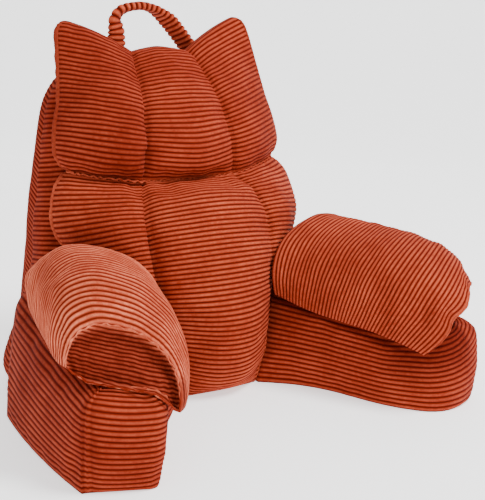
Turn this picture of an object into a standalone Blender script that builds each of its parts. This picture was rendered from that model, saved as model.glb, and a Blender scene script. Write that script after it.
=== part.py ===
"""Reading pillow with arms: a leaning filled back, a headrest and a lumbar cushion sewn
into three upright channels each, two splayed arm bolsters with saddle pads, and a
ribbed carry strap.

Units are metres. +X is the viewer's right, +Y is the back, +Z is up. The sizes below are
written from a point on the floor, midway between the arms, where the leaning front plane
of the back meets it; at the end the pillow moves so that its footprint is centred.
"""
import bpy
import bmesh
import numpy as np
from mathutils import Matrix

# ---------------------------------------------------------------- driving sizes
LEAN = 16.5                 # degrees that the back leans from upright
SLOPE = np.tan(np.radians(LEAN))
GAP = 0.0003                # kept between pieces that touch
CLEAR = 0.0005              # kept between a pad and the flat top of its bolster
CORDUROY = (0.52, 0.105, 0.038, 1.0)

# Back: level outlines from the floor up: half widths at the front plane, at the widest
# line and at the rear, and the thickness from front to rear.
BACK_LEVELS = dict(
    z=[0.000, 0.030, 0.070, 0.110, 0.146, 0.211, 0.282, 0.323, 0.361, 0.410, 0.470, 0.500, 0.515],
    front=[0.326, 0.336, 0.325, 0.294, 0.277, 0.252, 0.236, 0.222, 0.202, 0.206, 0.197, 0.187, 0.170],
    widest=[0.296, 0.305, 0.293, 0.275, 0.265, 0.253, 0.243, 0.236, 0.229, 0.219, 0.202, 0.186, 0.172],
    rear=[0.250, 0.260, 0.252, 0.243, 0.237, 0.229, 0.220, 0.213, 0.206, 0.195, 0.178, 0.162, 0.148],
    depth=[0.208, 0.215, 0.214, 0.206, 0.197, 0.177, 0.154, 0.141, 0.128, 0.110, 0.083, 0.063, 0.048])
WIDEST_AT = 0.45            # share of the thickness at which the back is widest
BACK_RING = 56
BACK_RINGS = 17
FRONT_SQUARENESS = 9.0      # superellipse powers of the front and rear corners
REAR_SQUARENESS = 3.0

# Cushions: v runs up the cushion. half and seam are the half widths to the outer edge
# and to the channel seam; z_ and d_ are the height and the depth in front of the
# leaning plane along the edge, the seam, the side channel's crown and the middle.
HEADREST = dict(
    v=[0.00, 0.12, 0.30, 0.55, 0.80, 0.94, 1.00],
    half=[0.207, 0.219, 0.214, 0.202, 0.193, 0.187, 0.175],
    seam=[0.088, 0.086, 0.084, 0.076, 0.065, 0.058, 0.053],
    z_edge=[0.361, 0.392, 0.430, 0.478, 0.540, 0.584, 0.602],
    z_seam=[0.345, 0.372, 0.412, 0.462, 0.512, 0.538, 0.548],
    z_mid=[0.343, 0.368, 0.408, 0.460, 0.512, 0.543, 0.556],
    d_edge=[0.008, 0.012, 0.013, 0.013, 0.010, 0.008, 0.007],
    d_seam=[0.056, 0.066, 0.073, 0.068, 0.042, 0.022, 0.010],
    d_side=[0.050, 0.078, 0.088, 0.078, 0.050, 0.026, 0.011],
    d_mid=[0.058, 0.090, 0.102, 0.092, 0.060, 0.032, 0.012])
LUMBAR = dict(
    v=[0.00, 0.08, 0.20, 0.33, 0.41, 0.55, 0.72, 0.88, 1.00],
    half=[0.076, 0.083, 0.094, 0.106, 0.116, 0.201, 0.240, 0.227, 0.207],
    seam=[0.070, 0.077, 0.087, 0.099, 0.108, 0.116, 0.118, 0.107, 0.088],
    z_edge=[0.000, 0.030, 0.080, 0.130, 0.168, 0.220, 0.282, 0.330, 0.361],
    z_seam=[0.000, 0.030, 0.080, 0.134, 0.168, 0.218, 0.276, 0.322, 0.345],
    z_mid=[0.000, 0.028, 0.078, 0.134, 0.168, 0.218, 0.279, 0.326, 0.343],
    d_edge=[0.066, 0.078, 0.090, 0.086, 0.072, 0.026, 0.013, 0.010, 0.008],
    d_seam=[0.069, 0.082, 0.098, 0.105, 0.107, 0.108, 0.104, 0.086, 0.056],
    d_side=[0.069, 0.080, 0.094, 0.096, 0.090, 0.088, 0.092, 0.076, 0.050],
    d_mid=[0.074, 0.112, 0.142, 0.155, 0.158, 0.156, 0.145, 0.118, 0.058])
CHANNEL_COLUMNS = 8
CUSHION_ROWS = 18
EDGE_TUCK = 0.010           # how far the side edges draw in towards the back
SEAM_U = 1 / 3              # the seams, on the cushions' across-parameter from -1 to 1

# Arm bolster, right arm: plan corners on the floor and at the top, anticlockwise seen
# from below: root by the lumbar cushion, front inner, front outer, outer by the back.
ARM_CORNERS = dict(
    root=[(0.0775, -0.069), (0.1190, -0.046)],
    inner=[(0.272, -0.344), (0.262, -0.345)],
    outer=[(0.362, -0.309), (0.355, -0.306)],
    heel=[(0.346, 0.000), (0.296, 0.050)])
ARM_BULGE = dict(inner=0.004, front=0.011, outer=0.022)
FLOOR_SHARE = dict(inner=0.0, front=0.0, outer=0.15)
INNER_HOLLOW = dict(left=0.012, right=0.0055)   # the foot of the inner wall draws in at mid
INNER_WAVE = dict(left=0.0, right=0.0135)       # length, and waves in and out along it
CORNER_SHARE = 0.12         # share of a wall's swelling wave that lies beyond its corners
ARM_COLUMNS = dict(inner=12, front=5, outer=11, back=6, lumbar=3)
ARM_LEVELS = [0.0, 0.10, 0.26, 0.44, 0.62, 0.76, 0.87, 0.94, 1.0]
ARM_FILLET = dict(left=(0.011, 0.011), right=(0.030, 0.011))    # front inner, front outer
FILLET_STEPS = 3
TOP_ROUND = 0.028           # radius of the edge between the walls and the top
ARM_TALL = 0.150            # height over which that radius is measured as a share
TOP_HEIGHT = 0.160          # top plane of the bolster: height at TOP_X on the back plane
TOP_X = 0.090
TOP_RISE_X = 0.100
TOP_RISE_Y = 0.138

# Arm pads: stations from the back (t = 0) to the gathered front end (t = 1), with the
# outer lower edge, the crown and the inner lower edge. The two ends lie differently.
PAD_COLUMNS = ("t", "outer", "crown", "inner")
PAD_LEFT = [
    (0.00, (0.315, 0.004, 0.195), (0.216, -0.015, 0.248), (0.106, -0.074, 0.158)),
    (0.30, (0.344, -0.078, 0.192), (0.250, -0.128, 0.283), (0.144, -0.140, 0.135)),
    (0.65, (0.365, -0.179, 0.180), (0.276, -0.208, 0.277), (0.166, -0.240, 0.127)),
    (0.90, (0.375, -0.248, 0.169), (0.290, -0.272, 0.238), (0.206, -0.305, 0.098)),
    (1.00, (0.374, -0.267, 0.170), (0.292, -0.289, 0.217), (0.224, -0.322, 0.102))]
PAD_RIGHT = [
    (0.00, (0.318, -0.004, 0.188), (0.211, -0.014, 0.266), (0.098, -0.080, 0.158)),
    (0.30, (0.338, -0.073, 0.182), (0.250, -0.093, 0.260), (0.131, -0.149, 0.140)),
    (0.65, (0.375, -0.147, 0.172), (0.301, -0.197, 0.248), (0.175, -0.239, 0.128)),
    (0.90, (0.385, -0.190, 0.170), (0.325, -0.268, 0.212), (0.214, -0.306, 0.109)),
    (1.00, (0.379, -0.197, 0.156), (0.341, -0.295, 0.180), (0.225, -0.322, 0.102))]
PAD_ARC = 18
PAD_SECTIONS = 20
PAD_SIDE_POWER = 0.85       # superellipse powers of the pad's section
PAD_CROWN_POWER = dict(left=0.91, right=0.875)
PAD_SWELL = dict(left=0.02, right=0.135)
FLAP = 0.014                # thickness of the edge that hangs down the inner side
FLAP_RISE = 0.003
CAP_RINGS = [(0.93, 0.002), (0.80, 0.008), (0.45, 0.007)]   # scale and sinking
CAP_CENTRE_SINK = 0.006

# Carry strap: centre line, as x and z in its upright plane, and its flat section.
STRAP_Y = 0.186
STRAP_LINE = [(-0.0665, 0.5170), (-0.0665, 0.5450), (-0.0660, 0.5780),
              (-0.0680, 0.5970), (-0.0640, 0.6080), (-0.0550, 0.6150),
              (-0.0400, 0.6200), (-0.0200, 0.6220), (-0.0000, 0.6180),
              (0.0180, 0.6080), (0.0350, 0.5940), (0.0510, 0.5780), (0.0640, 0.5630),
              (0.0720, 0.5520), (0.0795, 0.5350), (0.0830, 0.5170)]
STRAP_WIDTH = 0.029
STRAP_THICK = 0.0125
STRAP_RIBS = 31
STRAP_SIDES = 8
STEPS_PER_RIB = 4
RIB_DEPTH = 0.13            # how far the strap narrows between its ribs
STRAP_SQUARENESS = 0.6
STRAP_END_TURN = 58         # degrees by which the right end stays turned edge on


# ---------------------------------------------------------------- curves and meshes
def table_curve(xs, ys, x):
    """A smooth curve through the rows of a table that never overshoots them."""
    xs, ys = np.asarray(xs, float), np.asarray(ys, float)
    x = np.clip(np.asarray(x, float), xs[0], xs[-1])
    step, rise = np.diff(xs), np.diff(ys) / np.diff(xs)
    slope = np.empty_like(ys)
    slope[0], slope[-1] = rise[0], rise[-1]
    for i in range(1, len(xs) - 1):
        before, after = 2 * step[i] + step[i - 1], step[i] + 2 * step[i - 1]
        flat = rise[i - 1] * rise[i] <= 0
        slope[i] = 0 if flat else (before + after) / (before / rise[i - 1] + after / rise[i])
    k = np.clip(np.searchsorted(xs, x, side="right") - 1, 0, len(xs) - 2)
    t, h = (x - xs[k]) / step[k], step[k]
    start = ys[k] * (1 + 2 * t) * (1 - t) ** 2 + slope[k] * h * t * (1 - t) ** 2
    return start + ys[k + 1] * t * t * (3 - 2 * t) + slope[k + 1] * h * t * t * (t - 1)


def signed_power(value, power):
    """|value| to the power, with the sign kept: the superellipse's rounding."""
    return np.sign(value) * np.abs(value) ** power


def sharpen(obj):
    obj.data.shade_smooth()
    obj.data.set_sharp_from_angle(angle=np.radians(50))


def corduroy(name, tint=1.0):
    material = bpy.data.materials.new(name)
    material.use_nodes = True
    shader = material.node_tree.nodes["Principled BSDF"]
    r, g, b, a = CORDUROY
    shader.inputs["Base Color"].default_value = (r * tint, g * tint, b * tint, a)
    shader.inputs["Roughness"].default_value = 0.9
    shader.inputs["Metallic"].default_value = 0.0
    return material


def solid(name, rings, centres=(None, None), flip=False, tint=1.0):
    """A closed solid from rings of equally many points, capped at both ends.

    A cap is a flat face, or a fan to a centre point where one is given.
    """
    mesh = bmesh.new()
    loops = [[mesh.verts.new(tuple(p)) for p in ring] for ring in rings]
    count = len(loops[0])
    for low, high in zip(loops, loops[1:]):
        for i in range(count):
            j = (i + 1) % count
            mesh.faces.new((low[i], low[j], high[j], high[i]))
    for order, centre in ((loops[0][::-1], centres[0]), (loops[-1], centres[1])):
        if centre is None:
            mesh.faces.new(order)
            continue
        tip = mesh.verts.new(tuple(centre))
        for i in range(count):
            mesh.faces.new((order[i], order[(i + 1) % count], tip))
    if flip:
        bmesh.ops.reverse_faces(mesh, faces=mesh.faces)
    data = bpy.data.meshes.new(name)
    mesh.to_mesh(data)
    mesh.free()
    obj = bpy.data.objects.new(name, data)
    bpy.context.scene.collection.objects.link(obj)
    data.materials.append(corduroy(name + "_cloth", tint))
    sharpen(obj)
    return obj


# ---------------------------------------------------------------- back
def back_ring(z):
    """A rounded trapezoid at height z: flat in front, round and narrower at the rear."""
    size = {key: table_curve(BACK_LEVELS["z"], BACK_LEVELS[key], z)
            for key in ("front", "widest", "rear", "depth")}
    angle = np.linspace(0, 2 * np.pi, BACK_RING, endpoint=False)
    c, s = np.cos(angle), np.sin(angle)
    power = np.where(s < 0, 2 / FRONT_SQUARENESS, 2 / REAR_SQUARENESS)
    across = np.sign(c) * np.abs(c) ** power
    along = 0.5 + 0.5 * np.sign(s) * np.abs(s) ** power
    ahead = np.minimum(along / WIDEST_AT, 1)
    behind = np.maximum((along - WIDEST_AT) / (1 - WIDEST_AT), 0)
    half = size["widest"] + (size["front"] - size["widest"]) * (1 - ahead) ** 2
    half += (size["rear"] - size["widest"]) * behind ** 2
    y = z * SLOPE + size["depth"] * along
    return np.stack([half * across, y, np.full_like(y, z)], axis=1)


def make_back():
    top = BACK_LEVELS["z"][-1]
    rise = np.linspace(0, 1, BACK_RINGS)
    levels = top * (1 - (1 - rise) ** 1.35)
    return solid("back_body", [back_ring(z) for z in levels])


# ---------------------------------------------------------------- cushions
def cushion_front(rows, u, v):
    """The front cloth of a cushion in three channels, at across u and up v.

    Across, x runs straight to the seam and then straight to the edge. The middle
    channel swells as (1 - t^2)^0.75 over its seams, and a side channel as a half
    wave over the straight line from its seam to its edge.
    """
    size = {key: table_curve(rows["v"], rows[key], v) for key in rows if key != "v"}
    away = np.abs(u)
    middle = away <= SEAM_U
    t = np.where(middle, away / SEAM_U, (away - SEAM_U) / (1 - SEAM_U))
    t = np.clip(t, 0, 1)
    x = np.where(middle, size["seam"] * t, size["seam"] + (size["half"] - size["seam"]) * t)
    z_middle = size["z_mid"] + (size["z_seam"] - size["z_mid"]) * t ** 1.5
    z_side = size["z_seam"] + (size["z_edge"] - size["z_seam"]) * t
    swell = size["d_seam"] + (size["d_mid"] - size["d_seam"]) * (1 - t * t) ** 0.75
    chord = size["d_seam"] + (size["d_edge"] - size["d_seam"]) * t
    puff = np.maximum(size["d_side"] - (size["d_seam"] + size["d_edge"]) / 2, 0)
    side = chord + puff * (4 * t * (1 - t)) ** 0.7
    z = np.where(middle, z_middle, z_side)
    return np.stack([np.sign(u) * x, z * SLOPE - np.where(middle, swell, side), z], axis=-1)


def cushion_columns():
    """Across-parameters, closer together beside the seams and the edges."""
    ease = (1 - np.cos(np.linspace(0, np.pi, CHANNEL_COLUMNS + 1))) / 2
    knots = [-1, -SEAM_U, SEAM_U, 1]
    parts = [a + (b - a) * ease[:-1] for a, b in zip(knots, knots[1:])]
    return np.append(np.concatenate(parts), 1.0)


def make_cushion(name, rows, lift, tint):
    """The front cloth closed by its drawn-in sides and a flat back on the leaning plane."""
    u = cushion_columns()
    v = (1 - np.cos(np.linspace(0, np.pi, CUSHION_ROWS + 1))) / 2
    grid = cushion_front(rows, u[None, :], v[:, None])
    grid[..., 2] += lift
    grid[..., 1] += lift * SLOPE
    rows_n, cols_n = grid.shape[:2]
    mesh = bmesh.new()
    verts = [[mesh.verts.new(tuple(p)) for p in row] for row in grid]
    for low, high in zip(verts, verts[1:]):
        for j in range(cols_n - 1):
            mesh.faces.new((low[j], low[j + 1], high[j + 1], high[j]))
    border = verts[0][:] + [row[-1] for row in verts[1:]]
    border += verts[-1][-2::-1] + [row[0] for row in verts[-2:0:-1]]
    rim = np.array([vert.co for vert in border])
    row_of = np.concatenate([np.zeros(cols_n), np.arange(1, rows_n), np.full(cols_n - 1, rows_n - 1),
                             np.arange(rows_n - 2, 0, -1)])
    tuck = np.where((row_of > 0) & (row_of < rows_n - 1), EDGE_TUCK, 0.0)
    wide = np.abs(rim[:, 0]) > np.interp(rim[:, 2], rows["z_edge"], rows["seam"]) + EDGE_TUCK
    tuck *= np.sin(np.pi * row_of / (rows_n - 1))
    inner_x = rim[:, 0] - np.sign(rim[:, 0]) * np.where(wide, tuck, 0.0)
    plane_y = rim[:, 2] * SLOPE - GAP
    back = [mesh.verts.new((x, y, z)) for x, y, z in zip(inner_x, plane_y, rim[:, 2])]
    count = len(border)
    for i in range(count):
        j = (i + 1) % count
        mesh.faces.new((border[j], border[i], back[i], back[j]))
    mesh.faces.new(back[::-1])
    data = bpy.data.meshes.new(name)
    mesh.to_mesh(data)
    mesh.free()
    obj = bpy.data.objects.new(name, data)
    bpy.context.scene.collection.objects.link(obj)
    data.materials.append(corduroy(name + "_cloth", tint))
    sharpen(obj)
    return obj


# ---------------------------------------------------------------- arm bolsters
def arm_top(x, y):
    """Height of the bolster's sloping flat top."""
    return TOP_HEIGHT + TOP_RISE_X * (x - TOP_X) + TOP_RISE_Y * y


def arm_side(which, wall, start, end, level, trim):
    """Points of one side in plan, from corner to corner, swelling to its middle."""
    corner = [np.array(ARM_CORNERS[name][0]) * (1 - level) + np.array(ARM_CORNERS[name][1]) * level
              for name in (start, end)]
    run = corner[1] - corner[0]
    length = np.hypot(*run)
    t = np.linspace(trim[0] / length, 1 - trim[1] / length, ARM_COLUMNS[wall] + 1)
    outward = np.array([run[1], -run[0]]) / length
    along = CORNER_SHARE + (1 - 2 * CORNER_SHARE) * t
    up = FLOOR_SHARE[wall] + (1 - FLOOR_SHARE[wall]) * level
    swell = ARM_BULGE[wall] * np.abs(np.sin(np.pi * up)) ** 0.6 * np.sin(np.pi * along) ** 0.5
    if wall == "inner":
        drawn_in = INNER_HOLLOW[which] * np.sin(np.pi * t) + INNER_WAVE[which] * np.sin(2 * np.pi * t)
        swell = swell * np.minimum(1, t * 4) - drawn_in * (1 - level)
    return corner[0] + run * t[:, None] + outward * swell[:, None]


def fillet(before, after):
    """The points of a round corner between the end of one wall and the start of the next."""
    a, b = before[-1], after[0]
    heading = before[-1] - before[-2]
    tip = a + heading / np.hypot(*heading) * np.hypot(*(b - a)) * 0.55
    t = np.linspace(0, 1, FILLET_STEPS + 1)[1:-1, None]
    return a * (1 - t) ** 2 + tip * 2 * t * (1 - t) + b * t ** 2


def arm_ring(which, level):
    """The bolster's outline at a share of its height: three walls with round front
    corners, then the flat back on the leaning plane and the side by the cushion."""
    n = ARM_COLUMNS
    inner_corner, outer_corner = ARM_FILLET[which]
    inner = arm_side(which, "inner", "root", "inner", level, (0, inner_corner))
    front = arm_side(which, "front", "inner", "outer", level, (inner_corner, outer_corner))
    outer = arm_side(which, "outer", "outer", "heel", level, (outer_corner, 0))
    plan = np.concatenate([inner, fillet(inner, front), front, fillet(front, outer), outer])
    above = max(TOP_ROUND - (1 - level) * ARM_TALL, 0)
    inset = TOP_ROUND - np.sqrt(TOP_ROUND ** 2 - above ** 2)
    heading = np.gradient(plan, axis=0)
    heading /= np.hypot(heading[:, 0], heading[:, 1])[:, None]
    plan = plan - np.column_stack([heading[:, 1], -heading[:, 0]]) * inset
    walls = np.column_stack([plan, level * arm_top(plan[:, 0], plan[:, 1])])
    walls[-1] = on_plane(walls[-1:, 0], level)[0]
    share = np.linspace(0, 1, n["back"] + 1)[1:]
    back = on_plane(walls[-1, 0] + (walls[0, 0] - walls[-1, 0]) * share, level)
    share = np.linspace(0, 1, n["lumbar"] + 1)[1:-1, None]
    return np.concatenate([walls, back, back[-1] + (walls[0] - back[-1]) * share])


def on_plane(x, level):
    """Points at x on the leaning plane, at a share of the height of the bolster's top."""
    flat_rise = TOP_HEIGHT + TOP_RISE_X * (x - TOP_X) - TOP_RISE_Y * GAP
    z = level * flat_rise / (1 - level * TOP_RISE_Y * SLOPE)
    return np.column_stack([x, z * SLOPE - GAP, z])


def make_arm(which, side, tint):
    rings = [arm_ring(which, level) * (side, 1, 1) for level in ARM_LEVELS]
    return solid("arm_base_" + which, rings, flip=side < 0, tint=tint)


# ---------------------------------------------------------------- arm pads
def pad_guides(stations, t):
    """The pad's outer edge, crown and inner edge at a share t of its length."""
    marks = [row[0] for row in stations]
    return [np.stack([table_curve(marks, [row[k][axis] for row in stations], t) for axis in range(3)],
                     axis=-1) for k in range(1, len(PAD_COLUMNS))]


def pad_arc(stations, which, u, t):
    """The pad's upper cloth: a half superellipse from the outer edge over the crown.

    Its chord runs from the outer to the inner edge, and its inner side swells beyond it.
    """
    outer, crown, inner = pad_guides(stations, t)
    middle, half = (outer + inner) / 2, (outer - inner) / 2
    c = signed_power(np.cos(np.pi * u), PAD_SIDE_POWER)
    s = np.abs(np.sin(np.pi * u)) ** PAD_CROWN_POWER[which]
    swell = np.where(c > 0, 0.0, PAD_SWELL[which])
    return middle + half * (c * (1 + swell * s))[..., None] + (crown - middle) * s[..., None]


def pad_under(stations, t):
    """The underside, from the inner flap up and across the bolster's top."""
    outer, _, inner = pad_guides(stations, t)
    across = outer[:2] - inner[:2]
    across = across / np.hypot(*across)
    width = np.hypot(*(outer[:2] - inner[:2]))
    points = [np.append(inner[:2] + across * FLAP, inner[2] + FLAP_RISE)]
    for reach in (FLAP * 1.3, width * 0.35, width * 0.6, width * 0.82):
        plan = inner[:2] + across * reach
        points.append(np.append(plan, arm_top(*plan) + CLEAR))
    return np.array(points)


def pad_ring(stations, which, t):
    u = np.linspace(0, 1, PAD_ARC + 1)
    return np.concatenate([pad_arc(stations, which, u, np.full_like(u, t)), pad_under(stations, t)])


def make_pad(which, side, stations, tint):
    name = "arm_pad_" + which
    rings = [pad_ring(stations, which, t) for t in np.linspace(0, 1, PAD_SECTIONS + 1)]
    rim = rings[-1]
    outer, crown, inner = rim[0], rim[PAD_ARC // 2], rim[PAD_ARC]
    inward = np.cross(crown - inner, outer - inner)
    inward /= np.linalg.norm(inward)
    if inward[1] < 0:
        inward = -inward
    centre = rim.mean(axis=0)
    for scale, sink in CAP_RINGS:
        ring = centre + (rim - centre) * scale + inward * sink
        if scale < CAP_RINGS[0][0]:
            ring[:, 2] = np.maximum(ring[:, 2], arm_top(ring[:, 0], ring[:, 1]) + CLEAR)
        rings.append(ring)
    front_tip = centre + inward * CAP_CENTRE_SINK
    start_tip = rings[0].mean(axis=0)
    rings = [ring * (side, 1, 1) for ring in rings]
    tips = (start_tip * (side, 1, 1), front_tip * (side, 1, 1))
    return solid(name, rings, centres=tips, flip=side < 0, tint=tint)


# ---------------------------------------------------------------- carry strap
def strap_path(count):
    """Points along the strap's centre line at even steps, with its direction."""
    knots = np.array(STRAP_LINE)
    chord = np.append(0, np.cumsum(np.hypot(*np.diff(knots, axis=0).T)))
    fine = np.linspace(0, chord[-1], 40 * len(knots))
    line = np.column_stack([table_curve(chord, knots[:, k], fine) for k in (0, 1)])
    run = np.append(0, np.cumsum(np.hypot(*np.diff(line, axis=0).T)))
    even = np.linspace(0, run[-1], count)
    x, z = np.interp(even, run, line[:, 0]), np.interp(even, run, line[:, 1])
    tangent = np.column_stack([np.gradient(x), np.zeros(count), np.gradient(z)])
    tangent /= np.linalg.norm(tangent, axis=1)[:, None]
    return np.column_stack([x, np.full(count, STRAP_Y), z]), tangent


def make_strap():
    """A flat puffy strap that faces forward at its ends and turns edge on at the top."""
    count = STRAP_RIBS * STEPS_PER_RIB + 1
    line, tangent = strap_path(count)
    share = np.linspace(0, 1, count)
    turn = np.pi / 2 * np.sin(np.pi * share) ** 1.5
    turn = np.where(share > 0.5, np.maximum(turn, np.radians(STRAP_END_TURN)), turn)
    in_plane = np.column_stack([tangent[:, 2], np.zeros(count), -tangent[:, 0]])
    sideways = np.array([0.0, 1.0, 0.0])
    wide = in_plane * np.cos(turn)[:, None] + sideways * np.sin(turn)[:, None]
    thick = np.cross(tangent, wide)
    rib = 1 - RIB_DEPTH * np.cos(np.pi * share * STRAP_RIBS) ** 6
    angle = np.linspace(0, 2 * np.pi, STRAP_SIDES, endpoint=False)
    c = signed_power(np.cos(angle), STRAP_SQUARENESS) * STRAP_WIDTH / 2
    s = signed_power(np.sin(angle), STRAP_SQUARENESS) * STRAP_THICK / 2
    rings = [line[i] + (wide[i] * c[:, None] + thick[i] * s[:, None] * rib[i]) * rib[i]
             for i in range(count)]
    return solid("carry_handle", rings, tint=0.95)


# ---------------------------------------------------------------- the whole pillow
def centre_on_floor(objects):
    """Moves every piece alike, so that the origin is at the middle of the footprint."""
    corners = np.array([vert.co for obj in objects for vert in obj.data.vertices])
    low, high = corners.min(axis=0), corners.max(axis=0)
    shift = Matrix.Translation((-(low[0] + high[0]) / 2, -(low[1] + high[1]) / 2, 0.0))
    for obj in objects:
        obj.data.transform(shift)


def main():
    for obj in list(bpy.data.objects):
        bpy.data.objects.remove(obj, do_unlink=True)
    pieces = [make_back()]
    pieces += [make_cushion("headrest_cushion", HEADREST, GAP * 1.5, 1.06),
               make_cushion("lumbar_cushion", LUMBAR, 0.0, 1.0)]
    pieces += [make_arm("right", 1, 0.96), make_arm("left", -1, 0.96)]
    pieces += [make_pad("right", 1, PAD_RIGHT, 1.08), make_pad("left", -1, PAD_LEFT, 1.08)]
    pieces.append(make_strap())
    centre_on_floor(pieces)


main()
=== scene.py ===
# %% [markdown]
# # A reading pillow with arms
#
# The pillow leans back on a filled body. On its front lie a headrest and a lumbar
# cushion, each sewn into three upright channels. Two bolsters splay forward as arms,
# each with a saddle pad whose front end is gathered and sunken, and a ribbed strap
# loops up behind the headrest. Everything is cut from one wide-wale corduroy.
#
# The wales could be drawn on plain shapes by a bump map, but they are wide enough to
# show along every outline, so they are real relief. Each piece is a smooth surface
# written as a formula over a grid whose rows run along its wales, and the rows are then
# moved along the surface's normals. All lengths are metres.

import bpy
import bmesh
import numpy as np
from mathutils import Matrix


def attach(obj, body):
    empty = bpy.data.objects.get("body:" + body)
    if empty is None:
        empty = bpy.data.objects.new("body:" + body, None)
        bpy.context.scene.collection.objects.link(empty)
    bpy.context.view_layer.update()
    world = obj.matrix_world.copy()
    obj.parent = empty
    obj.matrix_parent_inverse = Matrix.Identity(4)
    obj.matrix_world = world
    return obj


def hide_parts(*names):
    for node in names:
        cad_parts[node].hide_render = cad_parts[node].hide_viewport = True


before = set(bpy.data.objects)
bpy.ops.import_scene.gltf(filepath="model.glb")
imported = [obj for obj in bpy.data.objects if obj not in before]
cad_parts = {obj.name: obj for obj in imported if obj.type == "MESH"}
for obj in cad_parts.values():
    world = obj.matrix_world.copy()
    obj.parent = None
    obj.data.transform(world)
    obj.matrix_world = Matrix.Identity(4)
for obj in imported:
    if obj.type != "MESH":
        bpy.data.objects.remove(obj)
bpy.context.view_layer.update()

# %% [markdown]
# ## Sizes
#
# The tables of the pieces are written from a point on the floor midway between the arms,
# where the leaning front plane of the back meets the floor. `PLACE` moves that point to
# where the frame has it. On the plane, y grows by `SLOPE` for each metre of height.

# %% Sizes that the pieces share
LEAN = 16.5
SLOPE = np.tan(np.radians(LEAN))
PLACE = np.array([-0.00820, 0.05389, 0.0])
GAP = 0.0003                    # between the leaning plane and what lies against it
CLEAR = 0.0005                  # between a pad and its bolster
WALE_PITCH = 0.0077
ROWS_PER_WALE = 8
RIB_HEIGHT = 0.0015             # of a wale's crest over its groove
RIB_BASE = 0.6                  # the share of a rib that lies below the plain surface
SLACK = 0.0022                  # how far loose cloth wanders in and out
print(f"the back leans {LEAN} degrees, with a wale every {WALE_PITCH * 1000:.1f} mm")

# %% [markdown]
# ## Curves, waves and grids
#
# A cushion's outline could be a curve object, but a formula can be read anywhere and
# gives a grid in one step. So each outline is a short table, and `table_curve` draws a
# smooth curve through it without overshooting. `drift` is a sum of long waves, the same
# each run, that keeps cloth from looking machined.

# %% Curves through tables
def table_curve(xs, ys, x):
    """A cubic through (xs, ys) that rises only where they rise, read at x. The slope at a
    knot is a weighted harmonic mean of the slopes beside it, and 0 where they turn."""
    xs, ys = np.asarray(xs, float), np.asarray(ys, float)
    x = np.clip(np.asarray(x, float), xs[0], xs[-1])
    step, rise = np.diff(xs), np.diff(ys) / np.diff(xs)
    slope = np.empty_like(ys)
    slope[0], slope[-1] = rise[0], rise[-1]
    for i in range(1, len(xs) - 1):
        before, after = 2 * step[i] + step[i - 1], step[i] + 2 * step[i - 1]
        flat = rise[i - 1] * rise[i] <= 0
        slope[i] = 0 if flat else (before + after) / (before / rise[i - 1] + after / rise[i])
    k = np.clip(np.searchsorted(xs, x, side="right") - 1, 0, len(xs) - 2)
    t, h = (x - xs[k]) / step[k], step[k]
    start = ys[k] * (1 + 2 * t) * (1 - t) ** 2 + slope[k] * h * t * (1 - t) ** 2
    return start + ys[k + 1] * t * t * (3 - 2 * t) + slope[k + 1] * h * t * t * (t - 1)


def read_table(table, along, x):
    """Every row of a table but the one named along, read at x of that row."""
    return {name: table_curve(table[along], row, x)
            for name, row in table.items() if name != along}


print("a curve through 0, 1 and 1, read half way up:", table_curve([0, 1, 2], [0, 1, 1], 0.5))


# %% Waves and soft steps
def smooth(a, b, x):
    """0 below a, 1 above b, and a soft step between them."""
    t = np.clip((x - a) / (b - a), 0, 1)
    return t * t * (3 - 2 * t)


def bell(x, width):
    """1 at 0, falling as exp(-(x / width)^2) to both sides."""
    return np.exp(-(x / width) ** 2)


def drift(x, y, seed, waves=7):
    """Sum of sines of unit size over the plane, wavelengths falling from 1 to 1/waves."""
    rng = np.random.default_rng(seed)
    total = np.zeros(np.broadcast(x, y).shape)
    for k in range(1, waves + 1):
        angle, phase = rng.uniform(0, 2 * np.pi, 2)
        total += np.sin(2 * np.pi * k * (x * np.cos(angle) + y * np.sin(angle)) + phase) / k ** 0.7
    return total / waves ** 0.5


def signed_power(value, power):
    """A power of the value's size, with the value's sign."""
    return np.sign(value) * np.abs(value) ** power


def rib(phase):
    """Height of a wale from 0 in the groove to 1 on its broad crest: |sin|^0.7."""
    return np.abs(np.sin(np.pi * phase)) ** 0.7


def wale_relief(phase):
    """The same in metres, with RIB_BASE of it below the plain surface."""
    return RIB_HEIGHT * (rib(phase) - RIB_BASE)


def wale_rows(wales):
    """The share of the way at which each fine row of so many wales lies."""
    return np.linspace(0, 1, wales * ROWS_PER_WALE + 1)[:, None]


print("a wale over half its width, in mm:", (wale_relief(np.linspace(0, 0.5, 5)) * 1e3).round(2))


# %% Lengths, normals and faces of a grid
def unit(vectors):
    """Each vector divided by its length."""
    return vectors / np.linalg.norm(vectors, axis=-1, keepdims=True)


def distance(line):
    """How far each point of a line lies from its start, along the line."""
    return np.append(0, np.cumsum(np.linalg.norm(np.diff(line, axis=0), axis=1)))


def run_length(points, axis):
    """The same along each row (axis 1) or column (axis 0) of a grid."""
    step = np.linalg.norm(np.diff(points, axis=axis), axis=-1)
    pad = [(0, 0), (0, 0)]
    pad[axis] = (1, 0)
    return np.cumsum(np.pad(step, pad), axis=axis)


def normals(points):
    """Unit normals of a grid: across-step times up-step."""
    n = np.cross(np.gradient(points, axis=1), np.gradient(points, axis=0))
    size = np.linalg.norm(n, axis=-1, keepdims=True)
    return n / np.maximum(size, 1e-12)


def raised(points, height, closed=False):
    """A grid moved along its normals. closed says that its last column meets its first,
    so that the normals there are worked out across the join."""
    if closed:
        wide = np.concatenate([points[:, -2:-1], points, points[:, 1:2]], axis=1)
        return points + normals(wide)[:, 1:-1] * height[..., None]
    return points + normals(points) * height[..., None]


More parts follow.
